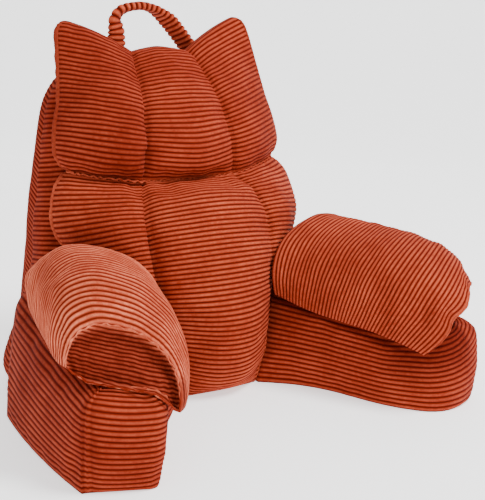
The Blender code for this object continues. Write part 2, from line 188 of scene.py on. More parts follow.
def even_rows(points, share):
    """The grid read again so that row i lies at share[i] of the run of every column."""
    walk = run_length(points, 0)
    walk = walk / walk[-1]
    share = np.clip(np.broadcast_to(share, (share.shape[0], points.shape[1])), 0, 1)
    columns = [[np.interp(share[:, j], walk[:, j], points[:, j, k]) for k in range(3)]
               for j in range(points.shape[1])]
    return np.array(columns).transpose(2, 0, 1)


def grid_faces(rows, cols, first=0):
    """The corners of each cell of a grid whose points count on from first, row by row."""
    index = np.arange(rows * cols).reshape(rows, cols) + first
    corners = [index[:-1, :-1], index[:-1, 1:], index[1:, 1:], index[1:, :-1]]
    return np.stack(corners, -1).reshape(-1, 4)


print("the one face of a grid of 2 x 2 points:", grid_faces(2, 2)[0])

# %% [markdown]
# ## Blowing the cloth up
#
# On the real pillow the filling presses the cloth out between the seams that hold it.
# Formulas give the main forms, but where cloth bunches up is better left to a solver. A
# solver slows down with every point, so each cover is first a coarse cloth, held along
# its seams and a little too large for them. Twenty frames of pressure puff it out. How
# far each point moved, at most `MOST`, is then read on to the fine grid.

# %% Cloth simulation
MOST = 0.006
FRAMES = 20
CLOTH_SETTINGS = dict(
    quality=5, mass=0.3, vertex_group_mass="held", use_pressure=True,
    uniform_pressure_force=4.0, shrink_min=-0.03, bending_stiffness=0.4)


def add_object(name, data):
    """An object of a mesh, a light or a camera, in the scene and at the origin."""
    obj = bpy.data.objects.new(name, data)
    bpy.context.scene.collection.objects.link(obj)
    return obj


def coarse_cloth(points, held):
    """A cloth over a coarse grid, pinned where held is true."""
    mesh = bpy.data.meshes.new("cloth")
    mesh.from_pydata(points.reshape(-1, 3).tolist(), [], grid_faces(*points.shape[:2]).tolist())
    obj = add_object("cloth", mesh)
    pins = obj.vertex_groups.new(name="held")
    pins.add(np.flatnonzero(held).tolist(), 1.0, "REPLACE")
    cloth_sim = obj.modifiers.new("cloth", "CLOTH")
    for key, value in CLOTH_SETTINGS.items():
        setattr(cloth_sim.settings, key, value)
    cloth_sim.settings.effector_weights.gravity = 0.0
    cloth_sim.collision_settings.use_collision = False
    cloth_sim.point_cache.frame_start, cloth_sim.point_cache.frame_end = 1, FRAMES
    return obj


def spread(coarse, rows, cols, shape):
    """A coarse field read between its rows and columns, then softened by a moving mean
    over the width of a coarse cell."""
    wide = np.array([np.interp(np.arange(shape[1]), cols, line) for line in coarse])
    field = np.array([np.interp(np.arange(shape[0]), rows, line) for line in wide.T]).T
    for axis, width in ((0, shape[0] // len(rows)), (1, shape[1] // len(cols))):
        width = 2 * (width // 2) + 1
        pad = [(0, 0), (0, 0)]
        pad[axis] = (width // 2 + 1, width // 2)
        total = np.cumsum(np.pad(field, pad, mode="edge"), axis=axis)
        last = np.take(total, range(width, total.shape[axis]), axis)
        field = (last - np.take(total, range(total.shape[axis] - width), axis)) / width
    return field


def puffed(points, held, rows, cols):
    """How far the cloth moves along its normals when it is blown up, on the fine grid."""
    row = np.linspace(0, points.shape[0] - 1, rows).round().astype(int)
    col = np.linspace(0, points.shape[1] - 1, cols).round().astype(int)
    start = points[np.ix_(row, col)]
    obj = coarse_cloth(start, held[np.ix_(row, col)])
    mesh = obj.data
    for frame_number in range(1, FRAMES + 1):
        bpy.context.scene.frame_set(frame_number)
    shown = obj.evaluated_get(bpy.context.evaluated_depsgraph_get())
    moved = np.empty(start.size, dtype=np.float32)
    shown.data.vertices.foreach_get("co", moved)
    bpy.context.scene.frame_set(1)
    bpy.data.objects.remove(obj, do_unlink=True)
    bpy.data.meshes.remove(mesh)
    shift = ((moved.reshape(start.shape) - start) * normals(start)).sum(axis=-1)
    shift = np.clip(shift, -MOST / 2, MOST)
    print(f"blown up: {shift.min() * 1000:.1f} to {shift.max() * 1000:.1f} mm")
    return spread(shift, row, col, points.shape[:2])


print(f"pressure may move cloth by {MOST * 1000:.0f} mm in {FRAMES} frames")

# %% [markdown]
# ## Closed covers
#
# A cover is sewn from panels, and so it is here: a `Cover` collects grids and flat lids,
# and then merges the points along their seams. The result is closed, so it could be
# filled, weighed or printed as well as rendered.

# %% Welding
MERGE = 2e-5                    # points closer than this become one


def weld(mesh):
    """Doubles merged and faces turned outwards. Returns how many edges are open."""
    work = bmesh.new()
    work.from_mesh(mesh)
    bmesh.ops.remove_doubles(work, verts=work.verts, dist=MERGE)
    bmesh.ops.dissolve_degenerate(work, dist=1e-6, edges=work.edges)
    if work.calc_volume(signed=True) < 0:
        bmesh.ops.reverse_faces(work, faces=work.faces)
    open_edges = sum(not edge.is_manifold for edge in work.edges)
    work.to_mesh(mesh)
    work.free()
    return open_edges


print(f"points within {MERGE * 1000:.2f} mm of each other are merged")


# %% A collector that joins grids into one closed mesh
class Cover:
    """Grids and lids, with texture coordinates and tones, welded into one mesh."""

    def __init__(self, name):
        self.name, self.count = name, 0
        self.points, self.uvs, self.tones, self.faces = [], [], [], []

    def add(self, points, uv, tone):
        """Points in a list, with a texture coordinate and a tone for each."""
        self.points.append(points)
        self.uvs.append(uv)
        self.tones.append(tone)
        self.count += len(points)

    def grid(self, points, phase, flip=False, tone=1.0):
        """A grid whose U is metres along each row. Phase, which counts wales, is its V,
        and tone below 1 darkens the cloth as painted shade."""
        shape = points.shape[:2]
        quads = grid_faces(*shape, self.count)
        self.faces += (quads[:, ::-1] if flip else quads).tolist()
        uv = np.stack([run_length(points, 1), np.broadcast_to(phase, shape)], -1)
        self.add(points.reshape(-1, 3), uv.reshape(-1, 2), np.broadcast_to(tone, shape).ravel())

    def lid(self, loop):
        """One flat face over a loop of points."""
        self.faces.append((np.arange(len(loop)) + self.count).tolist())
        self.add(loop, np.column_stack([loop[:, 0], loop[:, 2] / WALE_PITCH]), np.ones(len(loop)))

    def tube(self, points, phase, turn=1, tone=1.0):
        """A grid whose rows close on themselves, with a lid over each end. turn is -1
        for a tube that is mirrored."""
        points[:, -1] = points[:, 0]
        self.grid(points, phase, turn < 0, tone)
        self.lid(points[0, :-1][::-turn])
        self.lid(points[-1, :-1][::turn])

    def mesh(self):
        """The mesh, moved to its place and kept above the floor."""
        points = np.concatenate(self.points) + PLACE
        points[:, 2] = np.maximum(points[:, 2], 0.0)
        mesh = bpy.data.meshes.new(self.name)
        mesh.from_pydata(points.tolist(), [], self.faces)
        layer = mesh.uv_layers.new(name="wale")
        corner = np.empty(len(mesh.loops), dtype=np.int32)
        mesh.loops.foreach_get("vertex_index", corner)
        uv = np.concatenate(self.uvs)[corner]
        layer.data.foreach_set("uv", uv.astype(np.float32).ravel())
        tone = mesh.attributes.new("tone", "FLOAT", "POINT")
        tone.data.foreach_set("value", np.concatenate(self.tones).astype(np.float32))
        return mesh

    def make(self, material, node, fill=None):
        """The finished object, attached to the root. With a fill it takes its node's place,
        whose part is hidden, though the fill's amount is not used; without one it is trim
        that rides along."""
        mesh = self.mesh()
        open_edges = weld(mesh)
        mesh.shade_smooth()
        mesh.materials.append(material)
        obj = add_object(self.name, mesh)
        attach(obj, "root")
        node + "_cloth"
        if fill is not None:
            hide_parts(node)
        triangles = sum(len(p.vertices) - 2 for p in mesh.polygons)
        print(f"{self.name}: {triangles} triangles, {open_edges} open edges")


print("each cover is placed by", PLACE)

# %% [markdown]
# ## The corduroy
#
# Corduroy has cords of cut pile, bright and rubbed on their crests and dark between. A
# picture of it would slide off the relief, so the UV map carries metres along a wale in
# U and the wale's number in V, and the shader knows where each crest and groove lies.
# Grooves are dark red-brown, which is painted shade, flanks terracotta and crests a
# salmon that is partly wear, partly painted highlight. Fine pile noise and slow mottling
# break it up, and the attribute `tone` paints shade on cloth that is folded away or
# turned from the light, as under a flap.

# %% Shader helpers
class Socket:
    """A node output that takes part in arithmetic: each operator adds a Math node."""

    def __init__(self, tree, out):
        self.tree, self.out = tree, out

    def math(self, operation, *values):
        """One Math node on the values, which are numbers or sockets."""
        node = self.tree.nodes.new("ShaderNodeMath")
        node.operation = operation
        for slot, value in zip(node.inputs, values):
            if isinstance(value, Socket):
                self.tree.links.new(value.out, slot)
            else:
                slot.default_value = value
        return Socket(self.tree, node.outputs[0])

    def __add__(self, other):
        return self.math("ADD", self, other)

    def __radd__(self, other):
        return self.math("ADD", other, self)

    def __sub__(self, other):
        return self.math("SUBTRACT", self, other)

    def __rsub__(self, other):
        return self.math("SUBTRACT", other, self)

    def __mul__(self, other):
        return self.math("MULTIPLY", self, other)

    def __rmul__(self, other):
        return self.math("MULTIPLY", other, self)

    def clamp(self):
        return self.math("MINIMUM", self.math("MAXIMUM", self, 0.0), 1.0)


class Shader:
    """A Principled material whose other nodes are added through one method."""

    def __init__(self, name):
        self.material = bpy.data.materials.new(name)
        self.material.use_nodes = True
        self.tree = self.material.node_tree
        self.surface = self.tree.nodes["Principled BSDF"]

    def node(self, kind, inputs=(), output=0, **settings):
        """A node with its settings, its inputs by name or number, and one of its outputs."""
        made = self.tree.nodes.new(kind)
        for key, value in settings.items():
            setattr(made, key, value)
        self.feed(made, dict(inputs))
        return Socket(self.tree, made.outputs[output])

    def feed(self, node, inputs):
        """Values set on a node's inputs, and sockets linked to them."""
        for key, value in inputs.items():
            if isinstance(value, Socket):
                self.tree.links.new(value.out, node.inputs[key])
            else:
                node.inputs[key].default_value = value

    def mix(self, factor, first, second):
        colours = {0: factor, 6: first, 7: second}
        return self.node("ShaderNodeMix", colours, output=2, data_type="RGBA")

    def times(self, colour, factors):
        """A colour with each of its channels multiplied."""
        return self.node("ShaderNodeVectorMath", {0: colour, 1: factors}, operation="MULTIPLY")

    def noise(self, place, scale, detail=3.0):
        inputs = dict(Vector=place, Scale=scale, Detail=detail, Roughness=0.6)
        return self.node("ShaderNodeTexNoise", inputs)


print("an expression on sockets adds its Math nodes for + - and *")


# %% Corduroy shades
PATCHES, FINE, PILE = 11.0, 140.0, 700.0        # noise, in waves to a metre
DULL = (0.66, 0.58, 0.55)                       # of the colour, in worn or flattened pile
FULL_SHADE = (0.32, 0.12, 0.08)                       # of the colour, at tone 0, where painted shade is deepest
PILE_FINISH = {"Roughness": 0.88, "Sheen Weight": 0.015, "Sheen Roughness": 0.5,
               "Sheen Tint": (1.0, 0.60, 0.42, 1.0), "Specular IOR Level": 0.06}


def corduroy_shade(name, groove, flank, crest, wear):
    """Groove to flank to crest as |sin| of the wale's phase rises: the dark groove and flanks
    are painted shade, and the light crest is partly wear, partly painted highlight. The
    crest's salmon comes and goes with the noise, more so where wear is high."""
    shader = Shader(name)
    uv = shader.node("ShaderNodeUVMap", uv_map="wale")
    angle = shader.node("ShaderNodeSeparateXYZ", {0: uv}, output="Y") * np.pi
    height = angle.math("ABSOLUTE", angle.math("SINE", angle))
    place = shader.node("ShaderNodeTexCoord", output="Object")
    patches = shader.noise(place, PATCHES) - 0.5
    fine = shader.noise(place, FINE) - 0.5
    pile = shader.noise(place, PILE, 2.0) - 0.5
    # low and high ramp the colour from groove to crest: painted shade in the grooves and down the
    # flanks, and a crest that is partly worn, partly painted highlight
    low = (height * 1.45 - 0.12).clamp()
    worn = (patches * (2.2 * wear) + fine * 1.3 + 0.60).clamp()
    high = ((height - 0.55) * 2.3).clamp() * worn
    colour = shader.mix(high, shader.mix(low, groove, flank), crest)
    shade = (pile * 0.9 + patches * 1.3 + 0.70).clamp()
    colour = shader.mix(shade, shader.times(colour, DULL), colour)
    # tone below 1 is painted shade, which mixes the colour towards its deep red-brown at tone 0
    tone = shader.node("ShaderNodeAttribute", output="Fac", attribute_name="tone")
    colour = shader.mix(tone.clamp(), shader.times(colour, FULL_SHADE), colour)
    fuzz = dict(Strength=0.45, Distance=0.0009, Height=pile + fine * 0.9)
    bump = shader.node("ShaderNodeBump", fuzz)
    shader.feed(shader.surface, {"Base Color": colour, "Normal": bump, **PILE_FINISH})
    return shader.material


# the grooves' dark red-brown, which is painted shade
SHADED_GROOVE = (0.092, 0.0038, 0.0007, 1.0)
# One corduroy in three copies: as it is; darker all over as painted shade, for the headrest, the
# back and the bolsters, which lie in more shade; and lighter all over as painted light, for the
# left pad, whose top is lit brightly.
cloth = corduroy_shade(
    "corduroy", SHADED_GROOVE, (0.27, 0.021, 0.0060, 1.0), (0.58, 0.105, 0.046, 1.0), wear=0.5)
cloth_shaded = corduroy_shade(
    "corduroy_painted_shade", SHADED_GROOVE, (0.24, 0.017, 0.0052, 1.0), (0.47, 0.074, 0.032, 1.0), wear=0.5)
cloth_lit = corduroy_shade(
    "corduroy_painted_light_and_wear", (0.130, 0.0080, 0.0018, 1.0), (0.38, 0.042, 0.0150, 1.0),
    (0.88, 0.225, 0.115, 1.0), wear=0.7)
print("three shades of one corduroy:", cloth.name, cloth_shaded.name, cloth_lit.name)

# %% [markdown]
# ## Seam bands and ruffles
#
# Where two pieces of cloth are sewn together, their edges stand out of the seam, and
# where more cloth is gathered into it than it needs, they ruffle. To simulate so narrow
# a strip would take a very fine mesh, so a frill follows a line with a flat oval
# section. It waves from side to side as it goes, more at its free edge than at its root.

# %% Frill
SECTION = 14                    # points round a frill


def frill(name, line, outward, sideways, height, thick, wave, pitch, material, node, seed,
          tone=1.0):
    """Section: line + outward (1 + cos) height / 2 + sideways sin thick / 2. Its free
    edge moves sideways by wave times a sine of the run, of wavelength pitch. Height and
    tone are one number, or one for each point of the line."""
    walk = distance(line)
    run = np.linspace(0, walk[-1], int(walk[-1] / min(pitch / 7, 0.0020)) + 1)

    def read(field):
        return np.stack([np.interp(run, walk, field[:, k]) for k in range(3)], axis=1)[:, None]

    def wander(wavelength, more):
        return drift(run / wavelength, 0 * run, seed + more)

    centre, out, side = read(line), read(outward), read(sideways)
    height, tone = (np.interp(run, walk, np.broadcast_to(field, walk.shape))
                    for field in (height, tone))
    taper = smooth(0, 0.004, np.minimum(run, walk[-1] - run)) * 0.75 + 0.25
    tall = (height * (1 + 0.30 * wander(0.09, 0)) * taper)[:, None, None]
    sway = np.sin(2 * np.pi * run / pitch + 2.2 * wander(0.12, 1)) + 0.5 * wander(0.07, 2)
    angle = np.linspace(0, 2 * np.pi, SECTION + 1)[None, :, None]
    reach = (1 + np.cos(angle)) / 2
    half_thick = thick / 2 * (0.4 + 0.6 * taper[:, None, None])
    points = centre + out * reach * tall + side * np.sin(angle) * half_thick
    points = points + side * reach * (wave * sway)[:, None, None]
    cover = Cover(name)
    cover.tube(points, 0.5 + 0.2 * np.sin(2 * np.pi * run / pitch)[:, None], tone=tone[:, None])
    cover.make(material, node)


print(f"a frill has {SECTION} points round it")

# %% [markdown]
# ## Headrest and lumbar cushions
#
# Both cushions lie on the back's leaning front, each sewn through into three upright
# channels that its filling rounds. They could be three bent cylinders each, but their
# cloth runs on over the seams, so each is one grid. Across it u runs from -1 to 1 with
# seams at thirds, and the wales divide the run up each column evenly.

# %% Cushion tables
# v is the share of the way up. half and seam are half widths at the edge and the seams,
# z_ the heights there and in the middle, and d_ the depths in front of the leaning plane.
# rise lifts the outer part of the ears.
HEADREST = dict(
    v=[0.00, 0.12, 0.30, 0.55, 0.80, 0.94, 1.00],
    half=[0.207, 0.219, 0.214, 0.202, 0.193, 0.187, 0.175],
    seam=[0.088, 0.086, 0.084, 0.076, 0.065, 0.058, 0.053],
    z_edge=[0.361, 0.392, 0.430, 0.478, 0.540, 0.584, 0.602],
    z_seam=[0.345, 0.372, 0.412, 0.462, 0.512, 0.538, 0.548],
    z_mid=[0.343, 0.368, 0.408, 0.460, 0.512, 0.543, 0.556],
    rise=[0.000, 0.000, 0.000, 0.000, 0.001, 0.004, 0.0055],
    d_edge=[0.008, 0.012, 0.013, 0.013, 0.010, 0.008, 0.007],
    d_seam=[0.056, 0.066, 0.073, 0.068, 0.042, 0.022, 0.010],
    d_side=[0.050, 0.078, 0.088, 0.078, 0.050, 0.026, 0.011],
    d_mid=[0.058, 0.090, 0.102, 0.092, 0.060, 0.032, 0.012])
LUMBAR = dict(
    v=[0.00, 0.08, 0.20, 0.33, 0.41, 0.55, 0.72, 0.88, 1.00],
    half=[0.076, 0.083, 0.094, 0.106, 0.116, 0.206, 0.240, 0.231, 0.207],
    seam=[0.070, 0.077, 0.087, 0.099, 0.108, 0.116, 0.118, 0.107, 0.088],
    z_edge=[0.000, 0.030, 0.080, 0.130, 0.168, 0.220, 0.282, 0.330, 0.361],
    z_seam=[0.000, 0.030, 0.080, 0.134, 0.168, 0.218, 0.276, 0.322, 0.345],
    z_mid=[0.000, 0.028, 0.078, 0.134, 0.168, 0.218, 0.279, 0.326, 0.343],
    rise=[0.0] * 9,
    d_edge=[0.063, 0.076, 0.090, 0.086, 0.072, 0.026, 0.013, 0.010, 0.008],
    d_seam=[0.065, 0.080, 0.098, 0.105, 0.107, 0.108, 0.104, 0.086, 0.056],
    d_side=[0.065, 0.078, 0.094, 0.096, 0.090, 0.088, 0.092, 0.076, 0.050],
    d_mid=[0.069, 0.110, 0.142, 0.155, 0.158, 0.156, 0.145, 0.118, 0.058])
SEAM_U = 1 / 3
CHANNEL_COLUMNS = 27
print(f"headrest from {HEADREST['z_seam'][0]} to {HEADREST['z_edge'][-1]} m high")


# %% Cushion front
def cushion_front(rows, u, v, slump):
    """t runs from 0 in the middle to 1 at a seam, and from 0 there to 1 at the edge, and
    x is straight in it. The depth in front of the leaning plane is, inside the seams,
    their depth plus (1 - t^2)^0.72 of the swell, or ^0.95 on the right. Outside them it
    is the straight line from seam to edge plus (4 t (1 - t))^0.65 of the swell, less
    slump on the right. The ears rise by 4 t (1 - t), and by t more on the right."""
    size = read_table(rows, "v", v)
    away, right = np.abs(u), u > 0
    middle = away <= SEAM_U
    t = np.clip(np.where(middle, away / SEAM_U, (away - SEAM_U) / (1 - SEAM_U)), 0, 1)
    half_wave = 4 * t * (1 - t)
    x = np.where(middle, size["seam"] * t, size["seam"] + (size["half"] - size["seam"]) * t)
    x = x - size["rise"] * t * right * ~middle
    z_middle = size["z_mid"] + (size["z_seam"] - size["z_mid"]) * t ** 1.5
    z_side = size["z_seam"] + (size["z_edge"] - size["z_seam"]) * t
    z_side = z_side + size["rise"] * (half_wave + t * right)
    z = np.where(middle, z_middle, z_side)
    crown = (1 - t * t) ** np.where(u < 0, 0.72, 0.95)
    swell = size["d_seam"] + (size["d_mid"] - size["d_seam"]) * crown
    chord = size["d_seam"] + (size["d_edge"] - size["d_seam"]) * t
    puff = np.maximum(size["d_side"] - (size["d_seam"] + size["d_edge"]) / 2, 0)
    less = np.where(u < 0, 1, 1 - slump * (0.7 + 0.6 * t))
    depth = np.where(middle, swell, chord + puff * half_wave ** 0.65 * less)
    return np.stack([np.sign(u) * x, z * SLOPE - depth, z], axis=-1)


def cushion_columns():
    """u in three runs, whose columns lie a little closer together at their ends."""
    even = np.linspace(0, 1, CHANNEL_COLUMNS + 1)
    ease = 0.75 * even + 0.25 * (1 - np.cos(np.pi * even)) / 2
    knots = [-1, -SEAM_U, SEAM_U, 1]
    runs = [a + (b - a) * ease[:-1] for a, b in zip(knots, knots[1:])]
    return np.concatenate(runs + [[1.0]])[None, :]


def round_corners(points, to_side, to_end, radius):
    """Corners of the grid drawn in to quarter circles, square norm to round norm."""
    a, b = np.maximum(radius - to_side, 0), np.maximum(radius - to_end, 0)
    longest, length = np.maximum(a, b), np.maximum(np.hypot(a, b), 1e-9)
    draw = np.where((a > 0) & (b > 0), 1 - longest / length, 0)
    rows, cols = points.shape[:2]
    side = np.sign(np.arange(cols) - cols / 2)[None, :, None]
    top = np.sign(np.arange(rows) - rows / 2)[:, None, None]
    across = unit(points[:, -1:] - points[:, :1]) * side
    up = unit(points[-1:] - points[:1]) * top
    return points - across * (a * draw)[..., None] - up * (b * draw)[..., None]


print(cushion_columns().size, "columns across a cushion")


# %% Cushion relief
PUCKER, CREASE, LOOSE = 0.0021, 0.0034, 0.0024      # beside, in and away from the seams
RIGHT_PULL = 0.35               # how much of the left seam's crease the right one has


def cushion_relief(u, share, wales, to_seam, to_side, to_end, seed):
    """The wales, lower along seams and edges, puckers that die away from the seams, loose
    cloth and a crease along each seam."""
    firm = smooth(0.001, 0.009, to_seam) * smooth(0.0, 0.006, to_side) * smooth(0.0, 0.003, to_end)
    uneven = 1 + 0.14 * drift(u * 2, share * 9, seed + 3)
    height = wale_relief(share * wales) * (0.35 + 0.65 * firm) * uneven
    pucker = PUCKER * drift(u * 0.3, share * wales / 7, seed + 1) * np.exp(-to_seam / 0.020)
    slack = LOOSE * drift(u * 1.1, share * 1.3, seed + 2)
    crease = CREASE * np.where(u < 0, 1, RIGHT_PULL) * bell(to_seam, 0.0036)
    edge = smooth(0, 0.010, to_end) * smooth(0, 0.012, to_side)
    return height + (pucker + slack - crease) * edge


print(f"puckers of {PUCKER * 1000} mm beside creases of {CREASE * 1000} mm")


# %% Cushion cover
TUCK = 0.010


def close_cushion(cover, points, rows):
    """Rings from the border in to the flat back on the leaning plane. Where the cushion
    is wider than its seams, the back is tucked in by up to TUCK half way up."""
    count, columns = points.shape[:2]
    border = [points[0], points[1:, -1], points[-1, -2::-1], points[-2:0:-1, 0]]
    border = np.concatenate(border)
    row_of = [np.zeros(columns), np.arange(1, count), np.full(columns - 1, count - 1),
              np.arange(count - 2, 0, -1)]
    row_of = np.concatenate(row_of)
    wide = np.abs(border[:, 0]) > np.interp(border[:, 2], rows["z_edge"], rows["seam"]) + TUCK
    tuck = np.where(wide, TUCK * np.sin(np.pi * row_of / (count - 1)), 0)
    back = np.column_stack([border[:, 0] - np.sign(border[:, 0]) * tuck,
                            border[:, 2] * SLOPE - GAP, border[:, 2]])
    rings = np.array([border + (back - border) * share for share in (0, 0.3, 0.65, 1)])[:, ::-1]
    rings = np.concatenate([rings, rings[:, :1]], axis=1)
    cover.grid(rings, np.linspace(0, 2, len(rings))[:, None])
    cover.lid(back[::-1])


def cushion_cover(name, rows, wales, lift, seed, radius, slump, shade):
    """The cover and the grid of its front. shade is painted shade over the left channel, which
    faces away from the key light.
    """
    u = cushion_columns()
    share = wale_rows(wales)
    guide = cushion_front(rows, u, np.linspace(0, 1, 301)[:, None], slump)
    wander = 0.005 * drift(u * 0.6, share * 1.2, seed, 4)
    wander = wander * np.sin(np.pi * share) ** 0.5 * (1 - np.abs(u) ** 6)
    points = even_rows(guide, share + wander) + lift * np.array([0, SLOPE, 1])
    near_seam = np.abs(np.abs(u) - SEAM_U)
    held = np.broadcast_to((near_seam < 1e-6) | (np.abs(u) > 0.999), points.shape[:2]).copy()
    held[0] = held[-1] = True
    blown = puffed(points, held, rows=27, cols=28)
    blown = blown * np.where(u < SEAM_U, 0.8, 0.8 * (1 - np.abs(u)))
    width = run_length(points, 1)[:, -1:]
    to_seam, to_side = near_seam * width / 2, (1 - np.abs(u)) * width / 2
    to_end = np.minimum(share, 1 - share) * wales * WALE_PITCH
    relief = cushion_relief(u, share, wales, to_seam, to_side, to_end, seed)
    points = raised(points, relief + blown)
    points = round_corners(points, to_side, to_end, radius)
    # painted shade: over the left channel, along the top and bottom edges, and in the creases
    # along the seams, less on the right
    tone = 1 - shade * smooth(0.28, 0.42, -u) - 0.14 * bell(to_end, 0.006)
    tone = tone - 0.22 * np.where(u < 0, 1, RIGHT_PULL) * bell(to_seam, 0.0035)
    cover = Cover(name)
    cover.grid(points, share * wales, tone=tone)
    close_cushion(cover, points, rows)
    return cover, points


headrest, headrest_front = cushion_cover(
    "headrest_cover", HEADREST, wales=33, lift=GAP * 1.5, seed=11, radius=0.012, slump=0.48,
    shade=0.22)
headrest.make(cloth_shaded, "headrest_cushion", 0.75)
lumbar, lumbar_front = cushion_cover(
    "lumbar_cover", LUMBAR, wales=53, lift=0.0, seed=23, radius=0.008, slump=0.20, shade=0.0)
lumbar.make(cloth, "lumbar_cushion", 0.8)


# %% Stitched bands up the sides
STITCH = 0.0046                 # from one stitch of a band to the next


def side_bands(name, front, low, high, tall, thick, wave, tone):
    """A raised band along the left and the right edge, between two shares of its height."""
    rows = np.arange(int(low * len(front)), int(high * len(front)), 4)
    for side, column, sign in (("left", 0, -1.0), ("right", -1, 1.0)):
        outward = np.tile([sign * 0.60, 0.80, 0.0], (len(rows), 1))
        across = np.tile([sign * 0.80, -0.60, 0.0], (len(rows), 1))
        line = front[rows, column] - outward * 0.003 - across * 0.0008
        frill(f"{name}_band_{side}", line, outward, across, tall, thick, wave, STITCH, cloth,
              name + "_cushion", seed=61, tone=tone)


# the headrest's bands are darkened by painted shade; the lumbar's tone over 1 leaves its bands
# unchanged
side_bands("headrest", headrest_front, low=0.02, high=0.985, tall=0.0082, thick=0.0044,
           wave=0.0003, tone=0.45)
side_bands("lumbar", lumbar_front, low=0.36, high=0.99, tall=0.0070, thick=0.0046,
           wave=0.0006, tone=1.1)

# %% The ruffled crease between the cushions
LEFT_RUFFLE = 14                # columns of the left channel, where the ruffle stands out
crease = (headrest_front[0, ::2] + lumbar_front[-1, ::2]) / 2 + np.array([0, 0.0015, 0])
tall = np.where(np.arange(len(crease)) < LEFT_RUFFLE, 0.0150, 0.0045)
forward, upward = (np.tile(way, (len(crease), 1)) for way in ([0, -0.98, 0.1], [0, 0.1, 0.98]))
frill("crease_ruffle", crease, forward, upward, tall, thick=0.0030, wave=0.0018, pitch=0.0140,
      material=cloth, node="lumbar_cushion", seed=67)

# %% [markdown]
# ## The back
#
# The body behind the cushions is one filled block that gets shallower towards its top,
# flat in front and round behind. A lattice could bend a box into it, but with a
# superellipse at each level the grid's rows already lie along the wales. Up each side
# runs a seam where the wales meet in a chevron, so the rows dip towards it.

# %% Back tables
# Half widths in front, at the widest line and behind, and the depth, at each height.
BACK_LEVELS = dict(
    z=[0.000, 0.030, 0.070, 0.110, 0.146, 0.211, 0.282, 0.323, 0.361, 0.410, 0.470, 0.500, 0.515],
    front=[0.326, 0.336, 0.321, 0.290, 0.277, 0.252, 0.236, 0.222, 0.202, 0.206, 0.197, 0.187,
           0.170],
    widest=[0.296, 0.305, 0.290, 0.272, 0.265, 0.253, 0.243, 0.236, 0.229, 0.219, 0.202, 0.186,
            0.172],
    rear=[0.250, 0.260, 0.252, 0.243, 0.237, 0.229, 0.220, 0.213, 0.206, 0.195, 0.178, 0.162,
          0.148],
    depth=[0.208, 0.215, 0.214, 0.206, 0.197, 0.177, 0.154, 0.141, 0.128, 0.110, 0.083, 0.063,
           0.048])
WIDEST_AT = 0.45                # the share of the depth at which the back is widest
FRONT_SQUARENESS, REAR_SQUARENESS = 9.0, 3.0
SIDE_SEAM_DEPTH = 0.062         # of the side seams behind the leaning plane
SPACING_LEVEL = 0.25            # the height at which the columns are evenly spaced
print(f"back {2 * max(BACK_LEVELS['front']):.3f} m wide, {BACK_LEVELS['z'][-1]} m high")


# %% Back cover
def back_outline(z, angle):
    """Superellipse quarters: power 2/9 in front and 2/3 behind, on a width that bows
    from the front over the widest line to the rear."""
    size = read_table(BACK_LEVELS, "z", z)
    c, s = np.cos(angle), np.sin(angle)
    power = np.where(s < 0, 2 / FRONT_SQUARENESS, 2 / REAR_SQUARENESS)
    across, along = signed_power(c, power), 0.5 + 0.5 * signed_power(s, power)
    ahead = np.minimum(along / WIDEST_AT, 1)
    behind = np.maximum((along - WIDEST_AT) / (1 - WIDEST_AT), 0)
    half = size["widest"] + (size["front"] - size["widest"]) * (1 - ahead) ** 2
    half = half + (size["rear"] - size["widest"]) * behind ** 2
    return np.stack([half * across, z * SLOPE + size["depth"] * along, z + 0 * along], axis=-1)


def back_columns(columns=181):
    """Angles that divide the outline at one level evenly, and the points there."""
    coarse = np.linspace(-np.pi, np.pi, 1441)[None, :]
    walk = distance(back_outline(np.array([[SPACING_LEVEL]]), coarse)[0])
    angle = np.interp(np.linspace(0, walk[-1], columns), walk, coarse[0])[None, :]
    return angle, back_outline(np.full_like(angle, SPACING_LEVEL), angle)


def back_cover():
    """The outline carried up, with its wales dipping towards the side seams by 0.45 of
    the distance behind them and 0.16 in front, over at most 5 cm."""
    top = BACK_LEVELS["z"][-1]
    wales = int(round(top / WALE_PITCH))
    share = wale_rows(wales)
    angle, spot = back_columns()
    behind = spot[..., 1] - SPACING_LEVEL * SLOPE - SIDE_SEAM_DEPTH
    to_seam = np.abs(behind)
    on_side = smooth(0.16, 0.20, np.abs(spot[..., 0]))
    dip = (np.where(behind > 0, 0.45, 0.16) * np.minimum(to_seam, 0.05) - 0.010) * on_side
    points = back_outline(np.clip(top * share + dip * np.sin(np.pi * share) ** 0.5, 0, top), angle)
    in_front = points[..., 1] < points[..., 2] * SLOPE + 0.004
    held = in_front | ((to_seam < 0.006) & (on_side > 0.5))
    held[0] = held[-1] = held[:, 0] = held[:, -1] = True
    blown = puffed(points, held, rows=25, cols=46)
    to_end = np.minimum(share, 1 - share) * wales * WALE_PITCH
    seam = bell(to_seam, 0.0030) * on_side
    height = wale_relief(share * wales) * (1 - 0.8 * seam) - 0.0026 * seam
    slack = SLACK * (drift(angle / 3, share * 1.5, 31) - 0.1) * smooth(0, 0.04, to_end)
    loose = smooth(0, 0.004, to_end) * ~in_front
    height = (height + blown * 0.8 + slack) * loose
    points = raised(points, height, closed=True)
    cover = Cover("back_cover")
    # tone 0.86 darkens the whole back as painted shade
    cover.tube(points, share * wales, tone=0.86)
    return cover


back_cover().make(cloth_shaded, "back_body", 0.85)

# %% [markdown]
# ## Arm bolsters
#
# A bolster is a box of cloth that splays forward and carries an arm pad. A bevelled box
# would have wales that break at its corners, so its walls are one strip: from the root
# beside the lumbar cushion along the inside, round the front and back along the outside,
# with a mitred seam at the front outer corner. The wales lie level on the walls and
# carry on over the rounded top edge. The right one's filling has slumped, so its end is
# rounder and its mitre hardly shows.

